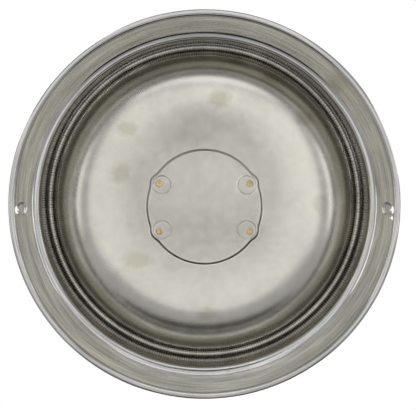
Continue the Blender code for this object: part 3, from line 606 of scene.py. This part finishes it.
chime_angles = angles_finer_at((0, pi), radians(6), radians(0.25))
chime = turned("bottom_chime_fine", bottom_chime_outline(), chime_angles)
press_flange(chime)
normal = (sin(FLANGE_SLOPE), 0, cos(FLANGE_SLOPE))
for side in (-1, 1):
    direction = (side * normal[0], 0, normal[2])
    cut(chime, rod(DRAIN_RADIUS, 0.014, (side * HOLE_PLACE, 0, HOLE_HEIGHT), direction))
vent_place = (sqrt(HOLE_PLACE**2 - VENT_SPACING**2), VENT_SPACING, HOLE_HEIGHT)
cut(chime, rod(VENT_RADIUS, 0.014, vent_place, normal))
smooth(chime, 32)
finish_piece(chime, "keg", "polished_steel", chime_steel, "bottom_chime")

# %% [markdown]
# ## Bottom dome, its well and the centre disc
# The head bulges down to a ridge, then hollows slightly towards the middle, where a disc lies in a well.
# The joint between them is round except at the four inserts, where it bulges out. Rings near the joint
# follow that outline, and further out they ease back to circles.

# %% The joint's outline
JOINT_RADIUS = 0.0596
JOINT_GAP = 0.0013
EAR_CENTRE = 0.0518
EAR_RADIUS = 0.0104
EAR_ANGLES = [radians(a) for a in (28, 152, 208, 332)]
DOME_WALL = 0.0018
BOWL_CENTRE, BOWL_EDGE = 0.031, 0.029
RIDGE = (0.108, 0.025)
DOME_EDGE = (0.1594, 0.056)
KNUCKLE = (0.1615, 0.0625)
TOP_KNUCKLE_BELOW_TOP = 0.0655
SHOULDER_SLOPE = radians(47)
RIM_STRAIGHT = 0.004


def joint_radius(angles, shift):
    """Distance of the joint from the axis, moved out by shift, with its ears blended in softly."""
    plain = np.full(len(angles), JOINT_RADIUS + shift)
    reach = plain.copy()
    for ear in EAR_ANGLES:
        away = (angles - ear + pi) % (2 * pi) - pi
        across = EAR_CENTRE * np.sin(away)
        inside = (np.abs(across) < EAR_RADIUS + shift) & (np.abs(away) < pi / 2)
        bulge = EAR_CENTRE * np.cos(away) + np.sqrt(np.maximum((EAR_RADIUS + shift) ** 2 - across**2, 0))
        reach = np.where(inside, np.maximum(reach, bulge), reach)
    kernel = np.hanning(15)
    padded = np.concatenate([reach[-7:], reach, reach[:7]])
    return np.convolve(padded, kernel / kernel.sum(), "valid")


def shaped_ring(angles, shift, height, share=1.0):
    """A ring that follows the joint when share is 1, and is a circle when share is 0."""
    follows = joint_radius(angles, shift)
    radius = share * follows + (1 - share) * (JOINT_RADIUS + shift)
    heights = height(radius) if callable(height) else np.full(len(angles), height)
    return np.column_stack([radius * np.cos(angles), radius * np.sin(angles), heights])


def bowl_height(radius):
    """Height of the hollow in the middle of the head, level at the axis and at the ridge."""
    share = np.clip(np.asarray(radius) / RIDGE[0], 0, 1)
    return BOWL_CENTRE + (RIDGE[1] - BOWL_CENTRE) * step_up(share)


# %% The head from the well's edge to its rim
WELL_ANGLES = even_angles(480)
WELL_FLOOR = span("base_insert_right_back")[2] + 0.0003
EDGE_ROLL = 0.0012
HEAD_ROUNDS = (0.0012, 0.0016)
BOWL_RINGS = (
    0.0022, 0.0034, 0.0050, 0.0070, 0.0095, 0.0125,
    0.0160, 0.0205, 0.0260, 0.0320, 0.0390, 0.0440,
)


def shoulder(knuckle_height):
    """From the knuckle out to the body, which the head meets upright."""
    turn_end = DOME_RIM - RIM_STRAIGHT
    reach = turn_end - knuckle_height
    run = 0.35 * (BODY_RADIUS - KNUCKLE[0])
    bend = bezier(
        (KNUCKLE[0], knuckle_height),
        (KNUCKLE[0] + run, knuckle_height + run * tan(SHOULDER_SLOPE)),
        (BODY_RADIUS, knuckle_height + 0.55 * reach),
        (BODY_RADIUS, turn_end),
        24,
    )
    return bend + [(BODY_RADIUS, DOME_RIM)]


def crown():
    """The arc from the ridge to the head's edge, level at the ridge."""
    run, rise = DOME_EDGE[0] - RIDGE[0], DOME_EDGE[1] - RIDGE[1]
    radius = (run * run + rise * rise) / (2 * rise)
    sweep = float(np.arctan2(run, radius - rise))
    return arc((RIDGE[0], RIDGE[1] + radius), radius, -pi / 2, -pi / 2 + sweep, 28)


def head_outline():
    """The head's outer face from the ridge to the rim."""
    edge = crown()
    turn = rounded([edge[-2], DOME_EDGE, KNUCKLE, shoulder(KNUCKLE[1])[2]], HEAD_ROUNDS, 4)
    return edge[:-2] + turn + shoulder(KNUCKLE[1])[3:]


def bottom_dome():
    angles = WELL_ANGLES
    inner_floor = JOINT_RADIUS * 0.4
    rings = [circle_ring(0, WELL_FLOOR, angles), circle_ring(inner_floor, WELL_FLOOR, angles)]
    rings.append(shaped_ring(angles, JOINT_GAP / 2, WELL_FLOOR))
    lip = float(bowl_height(JOINT_RADIUS))
    rings.append(shaped_ring(angles, JOINT_GAP / 2, lip + 0.0022))
    for turn in np.linspace(0, pi / 2, 7):
        out = JOINT_GAP / 2 + EDGE_ROLL * (1 - cos(turn))
        up = EDGE_ROLL * (1 - sin(turn))
        rings.append(shaped_ring(angles, out, lambda r, up=up: bowl_height(r) + up))
    for out in BOWL_RINGS:
        share = float(1 - step_up(np.array(out / 0.016)))
        rings.append(shaped_ring(angles, out, bowl_height, share))
    outer = head_outline()
    rings += [circle_ring(r, z, angles) for r, z in outer]
    inner = offset(outer, DOME_WALL)[::-1]
    pan_top = WELL_FLOOR + DOME_WALL
    rings += [circle_ring(r, max(z, RIDGE[1] + DOME_WALL), angles) for r, z in inner]
    rings += [circle_ring(JOINT_RADIUS + 0.012, pan_top, angles), circle_ring(0, pan_top, angles)]
    return skin("bottom_dome_fine", rings, closed=False)


dome = smooth(bottom_dome(), 40)
finish_piece(dome, "keg", "blasted_steel", base_steel, "bottom_dome")
print(f"well floor {WELL_FLOOR:.4f}, head rim {DOME_RIM:.4f}")

# %% [markdown]
# ## The disc, with four dimples
# Each dimple is a slanted cone: its outline is a circle, and it deepens towards the insert's hole, which
# sits near the disc's edge. For a point in between, the share of the way from outline to hole gives the
# depth. Solving for that share is a quadratic, as for the circles of an oblique cone.

# %% Build the disc
DISC_THICKNESS = 0.0024
HOLE_CIRCLE = 0.0535
HOLE_RADIUS = 0.0037
DIMPLE_CIRCLE = 0.0502
PRESS_RADIUS = 0.0094
PRESS_DEPTH = 0.0017
PRESS_RIM = 0.00022


def cone_share(points, dimple, hole):
    """0 outside the dimple, and 1 at the edge of its hole."""
    drift, shrink = hole - dimple, HOLE_RADIUS - PRESS_RADIUS
    from_dimple = points - dimple
    a = drift @ drift - shrink**2
    b = -2 * (from_dimple @ drift + PRESS_RADIUS * shrink)
    c = np.sum(from_dimple**2, axis=1) - PRESS_RADIUS**2
    root = np.sqrt(np.maximum(b * b - 4 * a * c, 0))
    return np.clip((-b - root) / (2 * a) if a > 0 else (-b - root) / (2 * a), -1, 1)


def disc_places(circle):
    return [np.array([circle * cos(a), circle * sin(a)]) for a in EAR_ANGLES]


def press_disc(points):
    """Lifts the disc's points into the four dimples, and raises a fine rim round each."""
    flat = points[:, :2]
    lift = np.zeros(len(points))
    for dimple, hole in zip(disc_places(DIMPLE_CIRCLE), disc_places(HOLE_CIRCLE)):
        away = np.linalg.norm(flat - dimple, axis=1)
        share = np.where(away < PRESS_RADIUS, cone_share(flat, dimple, hole), 0)
        lift = np.maximum(lift, PRESS_DEPTH * step_up(share * 1.5))
        lift -= PRESS_RIM * np.exp(-(((away - PRESS_RADIUS - 0.0004) / 0.0008) ** 2))
    return points + np.column_stack([0 * lift, 0 * lift, lift])


def disc_rings(shares, height_shift, angles):
    """Rings of the disc's face, from its rolled edge in to the middle."""
    rings = []
    for share in shares:
        radius = joint_radius(angles, -JOINT_GAP / 2 - EDGE_ROLL * 0.8) * share
        height = bowl_height(radius) + height_shift
        rings.append(np.column_stack([radius * np.cos(angles), radius * np.sin(angles), height]))
    return rings


def base_disc():
    angles = WELL_ANGLES
    shares = np.concatenate([np.linspace(1, 0.66, 34), np.linspace(0.64, 0.0, 12)])
    face = [press_disc(ring) for ring in disc_rings(shares, 0.0, angles)]
    edge = []
    for turn in np.linspace(pi / 2, 0, 6)[1:]:
        out = -JOINT_GAP / 2 - EDGE_ROLL * 0.8 * (1 - cos(turn))
        up = EDGE_ROLL * 0.8 * (1 - sin(turn))
        edge.append(shaped_ring(angles, out, lambda r, up=up: bowl_height(r) + up))
    back = [press_disc(ring) for ring in disc_rings(shares, DISC_THICKNESS * 0.7, angles)]
    return skin("base_disc_fine", face[::-1] + edge + back, closed=False)


disc = base_disc()
for place in disc_places(HOLE_CIRCLE):
    cut(disc, rod(HOLE_RADIUS, 0.02, (*place, BOWL_EDGE), (0, 0, 1)))
smooth(disc, 40)
finish_piece(disc, "keg", "blasted_steel", base_steel, "base_disc")

# %% [markdown]
# ## Inserts, weld beads and girth welds
# Each insert is a turned bush that shows only its face, through its hole in the disc. A weld bead is a
# ring whose section swells and shrinks a little as it goes round, which is what the ripples of a
# machine-laid weld are. That takes many short steps, so a bead has more angles than a plain ring.


# %% Brass inserts
def shifted(piece, x, y):
    """Moves the mesh, so that the object's own origin stays at the keg's origin."""
    piece.data.transform(Matrix.Translation((x, y, 0)))
    return piece


INSERT_CORNERS = ("right_back", "left_back", "left_front", "right_front")
INSERT_NODES = [f"base_insert_{corner}" for corner in INSERT_CORNERS]
INSERT_HOLLOW, INSERT_FLAT, INSERT_SINK = 0.0009, 0.0013, 0.0004
for node, place in zip(INSERT_NODES, disc_places(HOLE_CIRCLE)):
    low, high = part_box(node)
    radius = (high[0] - low[0]) / 2
    base, top = low[2], high[2]
    sunk = base + INSERT_SINK
    corners = [(INSERT_HOLLOW, sunk), (INSERT_FLAT, base), (radius, base), (radius, top)]
    face = [(0, sunk)] + rounded(corners, (0.0003, 0.0004), 3) + [(0, top)]
    bush = turned(node + "_fine", face, even_angles(40))
    finish_piece(smooth(shifted(bush, *place), 35), "keg", "brass", brass_look, node)


# %% Weld beads
def weld_ring(name, radius, height, size, ripples, depth, sides=14):
    """A ring of round section, whose thickness ripples as it goes round."""
    angles = even_angles(ripples * 8)
    swell = size + depth * (np.sin(angles * ripples) - 1) + 0.3 * depth * np.sin(angles * 7 + 1)
    rings = []
    for turn in even_angles(sides):
        reach = radius + swell * cos(turn)
        heights = height + swell * sin(turn)
        rings.append(np.column_stack([reach * np.cos(angles), reach * np.sin(angles), heights]))
    return smooth(skin(name, rings), 70)


def ring_section(node):
    """Middle radius, middle height and thickness of a ring-shaped node."""
    outer, low, high = span(node)
    size = (high - low) / 2
    return outer - size, (high + low) / 2, size


BEADS = (("bottom_weld_bead", 300, 0.00012), ("top_weld_bead", 300, 0.00012), ("neck_weld_bead", 80, 0.0001))
for node, ripples, depth in BEADS:
    bead = weld_ring(node + "_fine", *ring_section(node), ripples, depth)
    finish_piece(bead, "keg", "weld_metal", weld_look, node)

# %% Girth welds
BODY_WALL = 0.0016
SEAM_SINK, SEAM_ROUND = 0.0001, 0.0002

for node in ("lower_girth_weld", "upper_girth_weld"):
    outer, low, high = span(node)
    inner = BODY_RADIUS - BODY_WALL
    foot = BODY_RADIUS - SEAM_SINK
    crest = bezier((foot, low), (outer, low + SEAM_ROUND), (outer, high - SEAM_ROUND), (foot, high), 6)
    seam = turned(node + "_fine", crest + [(inner, high), (inner, low)])
    finish_piece(smooth(seam, 50), "keg", "weld_metal", weld_look, node)

# %% [markdown]
# ## Body and rolling hoops
# The two hoops are rolled out of the body sheet, so their crest runs into the wall in one soft wave.
# A raised cosine has that shape: it leaves the wall level and is level again at its crest.

# %% Body
HOOP_SPACING = 0.152
HOOP_HALF_WIDTH = 0.016
HOOP_PROUD = CHIME_RADIUS - BODY_RADIUS


def body_outline():
    middle = KEG_HEIGHT / 2
    line = [(BODY_RADIUS, BODY_BASE)]
    for height in (middle - HOOP_SPACING / 2, middle + HOOP_SPACING / 2):
        for share in np.linspace(-1, 1, 33):
            rise = HOOP_PROUD * (0.5 + 0.5 * cos(pi * share)) ** 0.75
            line.append((BODY_RADIUS + rise, height + HOOP_HALF_WIDTH * share))
    line.append((BODY_RADIUS, BODY_TOP))
    line = divided(line, 0.012)
    return line + offset(line, BODY_WALL)[::-1]


body = turned("body_shell_fine", body_outline())
finish_piece(smooth(body, 40), "keg", "blasted_steel", body_steel, "body_shell")

# %% [markdown]
# ## Top end
# The top chime has the same lip as the bottom one, and two hand-holds. Their edges are rolled so that
# they don't cut a hand: a bead runs round each opening, along the chime's wall.

# %% Top dome
CROWN_BELOW_TOP = 0.044
CROWN_FLAT = NECK_RADIUS + 0.022
CROWN_EDGE_BELOW_TOP = 0.060


def top_dome_outline():
    crown_height = KEG_HEIGHT - CROWN_BELOW_TOP
    edge = (DOME_EDGE[0], KEG_HEIGHT - CROWN_EDGE_BELOW_TOP)
    flat_end, flat_handle = (CROWN_FLAT, crown_height), (CROWN_FLAT + 0.045, crown_height)
    crown_line = bezier(flat_end, flat_handle, (edge[0] - 0.018, edge[1] + 0.011), edge, 30)
    bend = flipped(shoulder(TOP_KNUCKLE_BELOW_TOP))
    turn = rounded([crown_line[-2], edge, bend[0], bend[2]], HEAD_ROUNDS, 4)
    outer = [(NECK_RADIUS + 0.0003, crown_height)] + crown_line[:-2] + turn + bend[3:]
    return outer + offset(outer, -DOME_WALL)[::-1]


top = turned("top_dome_fine", top_dome_outline())
finish_piece(smooth(top, 40), "keg", "blasted_steel", body_steel, "top_dome")

# %% Top chime and its hand-holds
FLARE_DEPTH = 0.020
HANDHOLD_WIDTH, HANDHOLD_HEIGHT, HANDHOLD_END_FLAT = 0.112, 0.034, 0.001
HANDHOLD_MIDDLE = KEG_HEIGHT - FLARE_DEPTH - 0.002 - HANDHOLD_HEIGHT / 2
TOP_CHIME_BASE = span("top_chime")[1]


def top_chime_outline():
    inside = LIP[0]
    corners = [
        (CHIME_BORE, KEG_HEIGHT - TOP_CHIME_BASE),
        (CHIME_BORE, FLARE_DEPTH + 0.0025),
        (inside[0] - 0.006, inside[1] + 0.0045),
        (inside[0] - 0.0001, inside[1] + 0.0004),
    ]
    face = divided(rounded(corners, (0.007, 0.006), 8), 0.004)
    return flipped(face + LIP + offset(face, CHIME_WALL)[::-1])


def handhold_line(grow=0.0, pieces=10):
    """A slot with round ends, as (across, up) pairs about its middle, grown outwards by a distance."""
    corner = (HANDHOLD_HEIGHT - HANDHOLD_END_FLAT) / 2
    across, up = HANDHOLD_WIDTH / 2 - corner, HANDHOLD_HEIGHT / 2 - corner
    line = []
    for x, z, start in ((1, 1, 0), (-1, 1, pi / 2), (-1, -1, pi), (1, -1, 1.5 * pi)):
        line += arc((x * across, z * up), corner + grow, start, start + pi / 2, pieces)
    return line


def handhold_cutter():
    line = handhold_line()
    rings = [np.array([(x, y, HANDHOLD_MIDDLE + z) for x, z in line]) for y in (-0.25, 0.25)]
    mesh = skin("handhold_cutter", rings, closed=False)
    cage = bmesh.new()
    cage.from_mesh(mesh.data)
    bmesh.ops.holes_fill(cage, edges=cage.edges)
    bmesh.ops.recalc_face_normals(cage, faces=cage.faces)
    cage.to_mesh(mesh.data)
    cage.free()
    return mesh


top_chime = turned("top_chime_fine", top_chime_outline())
cut(top_chime, handhold_cutter())
finish_piece(smooth(top_chime, 32), "keg", "polished_steel", chime_steel, "top_chime")


# %% Rolled edges of the hand-holds
def swept(name, path, radius, sides=12, closed=True):
    """A round bar along a path of points, each ring square to the path."""
    points = np.array(path)
    before, after = np.roll(points, 1, axis=0), np.roll(points, -1, axis=0)
    if not closed:
        before[0], after[-1] = points[0], points[-1]
    along = after - before
    along /= np.linalg.norm(along, axis=1)[:, None]
    guide = points * [1, 1, 0]
    guide /= np.linalg.norm(guide, axis=1)[:, None]
    aside = np.cross(along, guide)
    aside /= np.linalg.norm(aside, axis=1)[:, None]
    out = np.cross(aside, along)
    turns = even_angles(sides)
    rings = [
        p + radius * (np.outer(np.cos(turns), o) + np.outer(np.sin(turns), a))
        for p, o, a in zip(points, out, aside)
    ]
    if closed:
        return skin(name, rings)
    ends = [np.repeat(p[None, :], sides, axis=0) for p in (points[0], points[-1])]
    return skin(name, [ends[0]] + rings + [ends[1]], closed=False)


RIM_RADIUS = 0.0026
for side, name in ((-1, "front"), (1, "back")):
    path = []
    for across, up in handhold_line(RIM_RADIUS * 0.35, 8):
        wall = CHIME_BORE + CHIME_WALL / 2
        path.append((across, side * sqrt(wall**2 - across**2), HANDHOLD_MIDDLE + up))
    rim = swept(f"handhold_rim_{name}", path, RIM_RADIUS)
    finish_piece(smooth(rim, 70), "keg", "polished_steel", chime_steel)

# %% [markdown]
# ## Neck and spear
# The neck holds the sprung valve. A coupler's lugs drop into the slot across its housing and turn under
# it, and its probe pushes first the white poppet and then the black seal down.

# %% Neck fitting and housing
LEDGE_RADIUS, LEDGE_DEPTH, GROOVE_DEPTH, NECK_BORE = 0.0234, 0.019, 0.0020, 0.0270
RETAINER_LOW, RETAINER_HIGH = span("retaining_ring")[1:]


def closed_outline(corners, fillet, pieces=3):
    """A closed outline with the same small curve at every corner."""
    start = tuple((np.array(corners[0]) + np.array(corners[-1])) / 2)
    return rounded([start, *corners, start], (fillet,) * len(corners), pieces)[:-1]


neck_corners = [
    (NECK_RADIUS, NECK_TOP),
    (NECK_RADIUS, NECK_BASE),
    (LEDGE_RADIUS, NECK_BASE),
    (LEDGE_RADIUS, NECK_TOP - LEDGE_DEPTH),
    (NECK_BORE, NECK_TOP - LEDGE_DEPTH),
    (NECK_BORE, RETAINER_LOW - 0.0003),
    (NECK_BORE + GROOVE_DEPTH, RETAINER_LOW - 0.0003),
    (NECK_BORE + GROOVE_DEPTH, RETAINER_HIGH + 0.0003),
    (NECK_BORE, RETAINER_HIGH + 0.0003),
    (NECK_BORE, NECK_TOP),
]
neck = turned("neck_fitting_fine", closed_outline(neck_corners, 0.0007), even_angles(160))
finish_piece(smooth(neck, 32), "keg", "polished_steel", fitting_steel, "neck_fitting")

HOUSING_FLANGE, HOUSING_FOOT, HOUSING_TOP = span("spear_housing")
HOUSING_BASE, HOUSING_OUTER, HOUSING_BORE = HOUSING_TOP - 0.008, 0.0228, 0.0205
SEAT_RADIUS, SEAT_THICKNESS, CRIMP_RADIUS, CRIMP_THICKNESS = 0.0135, 0.0053, 0.0180, 0.0017
housing_corners = [
    (SEAT_RADIUS + 0.0012, HOUSING_TOP),
    (HOUSING_FLANGE, HOUSING_TOP),
    (HOUSING_FLANGE, HOUSING_BASE),
    (HOUSING_OUTER, HOUSING_BASE),
    (HOUSING_OUTER, HOUSING_FOOT),
    (CRIMP_RADIUS, HOUSING_FOOT),
    (CRIMP_RADIUS, HOUSING_FOOT + CRIMP_THICKNESS),
    (HOUSING_BORE, HOUSING_FOOT + CRIMP_THICKNESS),
    (HOUSING_BORE, HOUSING_TOP - SEAT_THICKNESS),
    (SEAT_RADIUS, HOUSING_TOP - SEAT_THICKNESS),
    (SEAT_RADIUS, HOUSING_TOP - 0.0012),
]
housing = turned("spear_housing_fine", closed_outline(housing_corners, 0.0005), even_angles(160))


def box_cutter(half_x, half_y, low, high):
    mesh = bpy.data.meshes.new("slot")
    cage = bmesh.new()
    bmesh.ops.create_cube(cage, size=1)
    cage.to_mesh(mesh)
    cage.free()
    mesh.transform(Matrix.Diagonal((2 * half_x, 2 * half_y, high - low, 1)))
    mesh.transform(Matrix.Translation((0, 0, (low + high) / 2)))
    made = bpy.data.objects.new("slot", mesh)
    bpy.context.scene.collection.objects.link(made)
    return made


cut(housing, box_cutter(0.0185, 0.004, HOUSING_TOP - 0.0032, HOUSING_TOP + 0.01))
for i in range(3):
    across = (cos(pi / 3 * i), sin(pi / 3 * i), 0)
    cut(housing, rod(0.005, 0.06, (0, 0, (HOUSING_FOOT + HOUSING_BASE) / 2), across))
finish_piece(smooth(housing, 32), "keg", "polished_steel", fitting_steel, "spear_housing")

# %% Retaining ring, seal and poppet
RING_OUTER = span("retaining_ring")[0]
RING_SPLIT = 0.0070
ring_middle = (RETAINER_LOW + RETAINER_HIGH) / 2
wire = (RETAINER_HIGH - RETAINER_LOW) / 2
ring_angles = np.linspace(RING_SPLIT / 2 / RING_OUTER, 2 * pi - RING_SPLIT / 2 / RING_OUTER, 120)
ring_path = [((RING_OUTER - wire) * cos(a), (RING_OUTER - wire) * sin(a), ring_middle) for a in ring_angles]
retainer = swept("retaining_ring_fine", ring_path, wire, 14, closed=False)
finish_piece(smooth(retainer, 60), "keg", "spring_steel", spring_look, "retaining_ring")

SEAL_RADIUS, SEAL_BASE, SEAL_TOP = span("gas_valve_seal")
SEAL_BORE, SEAL_LIP_RADIUS, SEAL_LIP_THICKNESS = 0.0100, 0.0072, 0.0028
seal_corners = [
    (SEAL_LIP_RADIUS + 0.0008, SEAL_TOP),
    (SEAL_RADIUS - 0.0008, SEAL_TOP),
    (SEAL_RADIUS, SEAL_TOP - 0.0012),
    (SEAL_RADIUS, SEAL_BASE),
    (SEAL_BORE, SEAL_BASE),
    (SEAL_BORE, SEAL_TOP - SEAL_LIP_THICKNESS),
    (SEAL_LIP_RADIUS, SEAL_TOP - SEAL_LIP_THICKNESS),
    (SEAL_LIP_RADIUS, SEAL_TOP - 0.0008),
]
seal = turned("gas_valve_seal_fine", closed_outline(seal_corners, 0.0008), even_angles(120))
finish_piece(smooth(seal, 40), "gas_valve", "rubber", rubber_look, "gas_valve_seal")

POPPET_RADIUS, POPPET_FOOT, POPPET_CROWN = span("beer_poppet")
POPPET_NOSE, POPPET_STEM, POPPET_HEAD = 0.0060, 0.0030, 0.0038
poppet_top = POPPET_FOOT + 0.0095 + POPPET_HEAD
poppet_corners = [
    (0.0030, POPPET_CROWN),
    (POPPET_NOSE, POPPET_CROWN),
    (POPPET_NOSE, poppet_top),
    (POPPET_RADIUS, poppet_top),
    (POPPET_RADIUS, poppet_top - POPPET_HEAD),
    (POPPET_STEM, poppet_top - POPPET_HEAD),
    (POPPET_STEM, POPPET_FOOT),
    (0, POPPET_FOOT),
]
poppet_line = [(0, POPPET_CROWN - 0.0006), (0.0012, POPPET_CROWN - 0.0006)]
poppet_line += rounded([(0.0016, POPPET_CROWN - 0.0002), *poppet_corners], (0.0006,) * 7, 4)
poppet = turned("beer_poppet_fine", poppet_line, even_angles(96))
finish_piece(smooth(poppet, 40), "beer_valve", "acetal", acetal_look, "beer_poppet")


# %% [markdown]
# ## Springs
# A spring's end turns lie flat and the ones between share the rest of its height.


# %% Coils
def coil_path(radius, low, high, wire_size, turns, per_turn=40):
    base, top = low + wire_size / 2, high - wire_size / 2
    closed_rise = 1.25 * wire_size
    path = []
    for i in range((turns + 2) * per_turn + 1):
        turn = i / per_turn
        if turn <= 1:
            height = base + closed_rise * turn
        elif turn >= turns + 1:
            height = top - closed_rise * (turns + 2 - turn)
        else:
            height = base + closed_rise + (top - base - 2 * closed_rise) * (turn - 1) / turns
        path.append((radius * cos(2 * pi * turn), radius * sin(2 * pi * turn), height))
    return path


SPRINGS = (
    # node, wire, turns, body, joint, travel
    ("main_spring", 0.0022, 5, "keg", "gas_valve_slide", 0.006),
    ("poppet_spring", 0.0012, 3, "gas_valve", "beer_valve_slide", 0.004),
)
for node, wire_size, turns, body_name, joint, travel in SPRINGS:
    outer, low, high = span(node)
    path = coil_path(outer - wire_size / 2, low, high, wire_size, turns)
    spring = smooth(swept(node + "_fine", path, wire_size / 2, 10, closed=False), 70)
    finish_piece(spring, body_name, "spring_steel", spring_look, node)
    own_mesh(spring)

# %% Solids that stay as they are
KEPT = dict.fromkeys(("down_tube", "valve_collar", "spring_seat"), fitting_steel)
KEPT["neck_seal"] = rubber_look
for node, look in KEPT.items():
    thing = bpy.data.objects[node]
    thing.data.materials.clear()
    thing.data.materials.append(look)
print("kept solids:", ", ".join(KEPT))

# %% [markdown]
# ## Floor and light
# The camera looks up from below, so the floor under the keg has to be seen from above and looked through
# from underneath. Its middle is a disc that only the camera meets, and that is clear from its back. The
# rest is an ordinary pale floor.

# %% Floor
WINDOW_RADIUS, FLOOR_RADIUS = 0.36, 6.0


def floor_material():
    f = Finish("pale_floor")
    tone = f.noise(3, 3)
    f.surface(base_color=f.blend(tone, (0.78, 0.78, 0.77), (0.82, 0.82, 0.81)), roughness=0.6 + tone * 0.1)
    back = f.node("ShaderNodeNewGeometry", output="Backfacing")
    clear = f.node("ShaderNodeBsdfTransparent", inputs={0: (1, 1, 1, 1)})
    lit = Value(f, f.shader.outputs[0])
    mixed = f.node("ShaderNodeMixShader", inputs={0: back, 1: lit, 2: clear})
    f.tree.links.new(mixed.output, f.tree.nodes["Material Output"].inputs["Surface"])
    return f.material


def floor_piece(name, inner, outer, look):
    angles = even_angles(96)
    middle = circle_ring(inner, -0.0002, angles) if inner else circle_ring(0, -0.0002, angles)
    made = skin(name, [middle, circle_ring(outer, -0.0002, angles)], closed=False)
    if made.data.polygons[0].normal.z < 0:
        made.data.flip_normals()
    made.data.materials.append(look)
    return made


pale = floor_material()
window = floor_piece("floor_under_keg", 0, WINDOW_RADIUS, pale)
window.visible_diffuse = window.visible_glossy = window.visible_transmission = window.visible_shadow = False
floor_piece("floor_around", WINDOW_RADIUS, FLOOR_RADIUS, pale)
print("floor reaches", FLOOR_RADIUS, "m")

# %% Surroundings
world = bpy.data.worlds.new("studio")
bpy.context.scene.world = world
world.use_nodes = True
tree = world.node_tree
path_node = tree.nodes.new("ShaderNodeLightPath")
seen, around_light = tree.nodes["Background"], tree.nodes.new("ShaderNodeBackground")
seen.inputs["Color"].default_value = (1.0, 1.0, 1.0, 1)
seen.inputs["Strength"].default_value = 1.0
around_light.inputs["Color"].default_value = (0.95, 0.97, 1.0, 1)
around_light.inputs["Strength"].default_value = 0.50
pick = tree.nodes.new("ShaderNodeMixShader")
tree.links.new(path_node.outputs["Is Camera Ray"], pick.inputs[0])
tree.links.new(around_light.outputs[0], pick.inputs[1])
tree.links.new(seen.outputs[0], pick.inputs[2])
tree.links.new(pick.outputs[0], tree.nodes["World Output"].inputs["Surface"])


# %% Softboxes
def softbox(name, place, aim, size, power, colour=(1, 1, 1)):
    lamp = bpy.data.lights.new(name, "AREA")
    lamp.shape = "RECTANGLE"
    lamp.size, lamp.size_y = size
    lamp.energy, lamp.color = power, colour
    made = bpy.data.objects.new(name, lamp)
    made.location = place
    made.rotation_mode = "QUATERNION"
    made.rotation_quaternion = (Vector(aim) - Vector(place)).to_track_quat("-Z", "Y")
    made.visible_camera = False
    bpy.context.scene.collection.objects.link(made)
    return made


BASE_MIDDLE = (0, 0, 0.03)
softbox("under_middle", (0, -0.30, -1.50), BASE_MIDDLE, (2.6, 2.0), 9.0, (1.0, 0.99, 0.97))
softbox("under_back", (0, -1.30, -0.55), BASE_MIDDLE, (1.8, 0.8), 4.0, (0.90, 0.95, 1.0))
softbox("under_left", (-1.3, -0.1, -0.45), BASE_MIDDLE, (0.9, 0.6), 1.6, (1.0, 0.98, 0.94))
softbox("under_right", (1.3, -0.1, -0.45), BASE_MIDDLE, (0.9, 0.6), 1.8, (0.94, 0.97, 1.0))
softbox("over_left", (-1.6, -1.3, 1.3), (0, 0, 0.3), (1.8, 1.8), 20, (1.0, 0.99, 0.97))
softbox("over_right", (1.8, -0.5, 0.9), (0, 0, 0.3), (0.8, 1.8), 8, (0.97, 0.98, 1.0))
softbox("over_back", (0.3, 1.9, 1.2), (0, 0, 0.3), (1.8, 1.4), 14)
softbox("overhead", (0, 0, 2.1), (0, 0, 0.5), (1.8, 1.8), 14)

# %% Dark cards
# Polished metal only shows its shape where it reflects something dark. One card has the size of a hand-held
# camera and lies round the real one; the other stands on one side. Neither is seen by the camera.
CARD_SHADE = (0.012, 0.012, 0.013)


def dark_card(name, place, aim, wide, high):
    f = Finish(name)
    shade = f.blend(f.noise(20), CARD_SHADE, (0.02, 0.02, 0.021))
    f.surface(base_color=shade, roughness=0.9, specular_ior_level=0.0)
    mesh = bpy.data.meshes.new(name)
    corners = [(x * wide / 2, y * high / 2, 0) for x, y in ((-1, -1), (1, -1), (1, 1), (-1, 1))]
    mesh.from_pydata(corners, [], [(0, 1, 2, 3)])
    mesh.materials.append(f.material)
    made = bpy.data.objects.new(name, mesh)
    made.location = place
    made.rotation_mode = "QUATERNION"
    made.rotation_quaternion = (Vector(aim) - Vector(place)).to_track_quat("Z", "Y")
    made.visible_camera = False
    bpy.context.scene.collection.objects.link(made)
    return made


dark_card("camera_card", (0, -0.015, -0.73), (0, 0, 0.03), 0.10, 0.21)
dark_card("side_card", (0, 0.95, -0.32), (0, 0, 0.03), 1.5, 0.62)

# %% [markdown]
# ## Camera
# It looks up at the base from a hand's width off the axis, so the chime looks a little deeper on one side.

# %% Camera
CAMERA_TILT = radians(6.3)
CAMERA_DISTANCE = 0.705
lens = bpy.data.cameras.new("camera")
lens.sensor_width, lens.lens = 36, 60.8
lens.shift_x, lens.shift_y = 0.0086, 0.0144
camera = bpy.data.objects.new("camera", lens)
camera.location = (0, -CAMERA_DISTANCE * sin(CAMERA_TILT), -CAMERA_DISTANCE * cos(CAMERA_TILT))
camera.rotation_mode = "QUATERNION"
camera.rotation_quaternion = (-camera.location).to_track_quat("-Z", "Y")
bpy.context.scene.collection.objects.link(camera)
bpy.context.scene.camera = camera
bpy.context.scene.view_settings.view_transform = "Standard"
print("camera at", [round(c, 3) for c in camera.location])
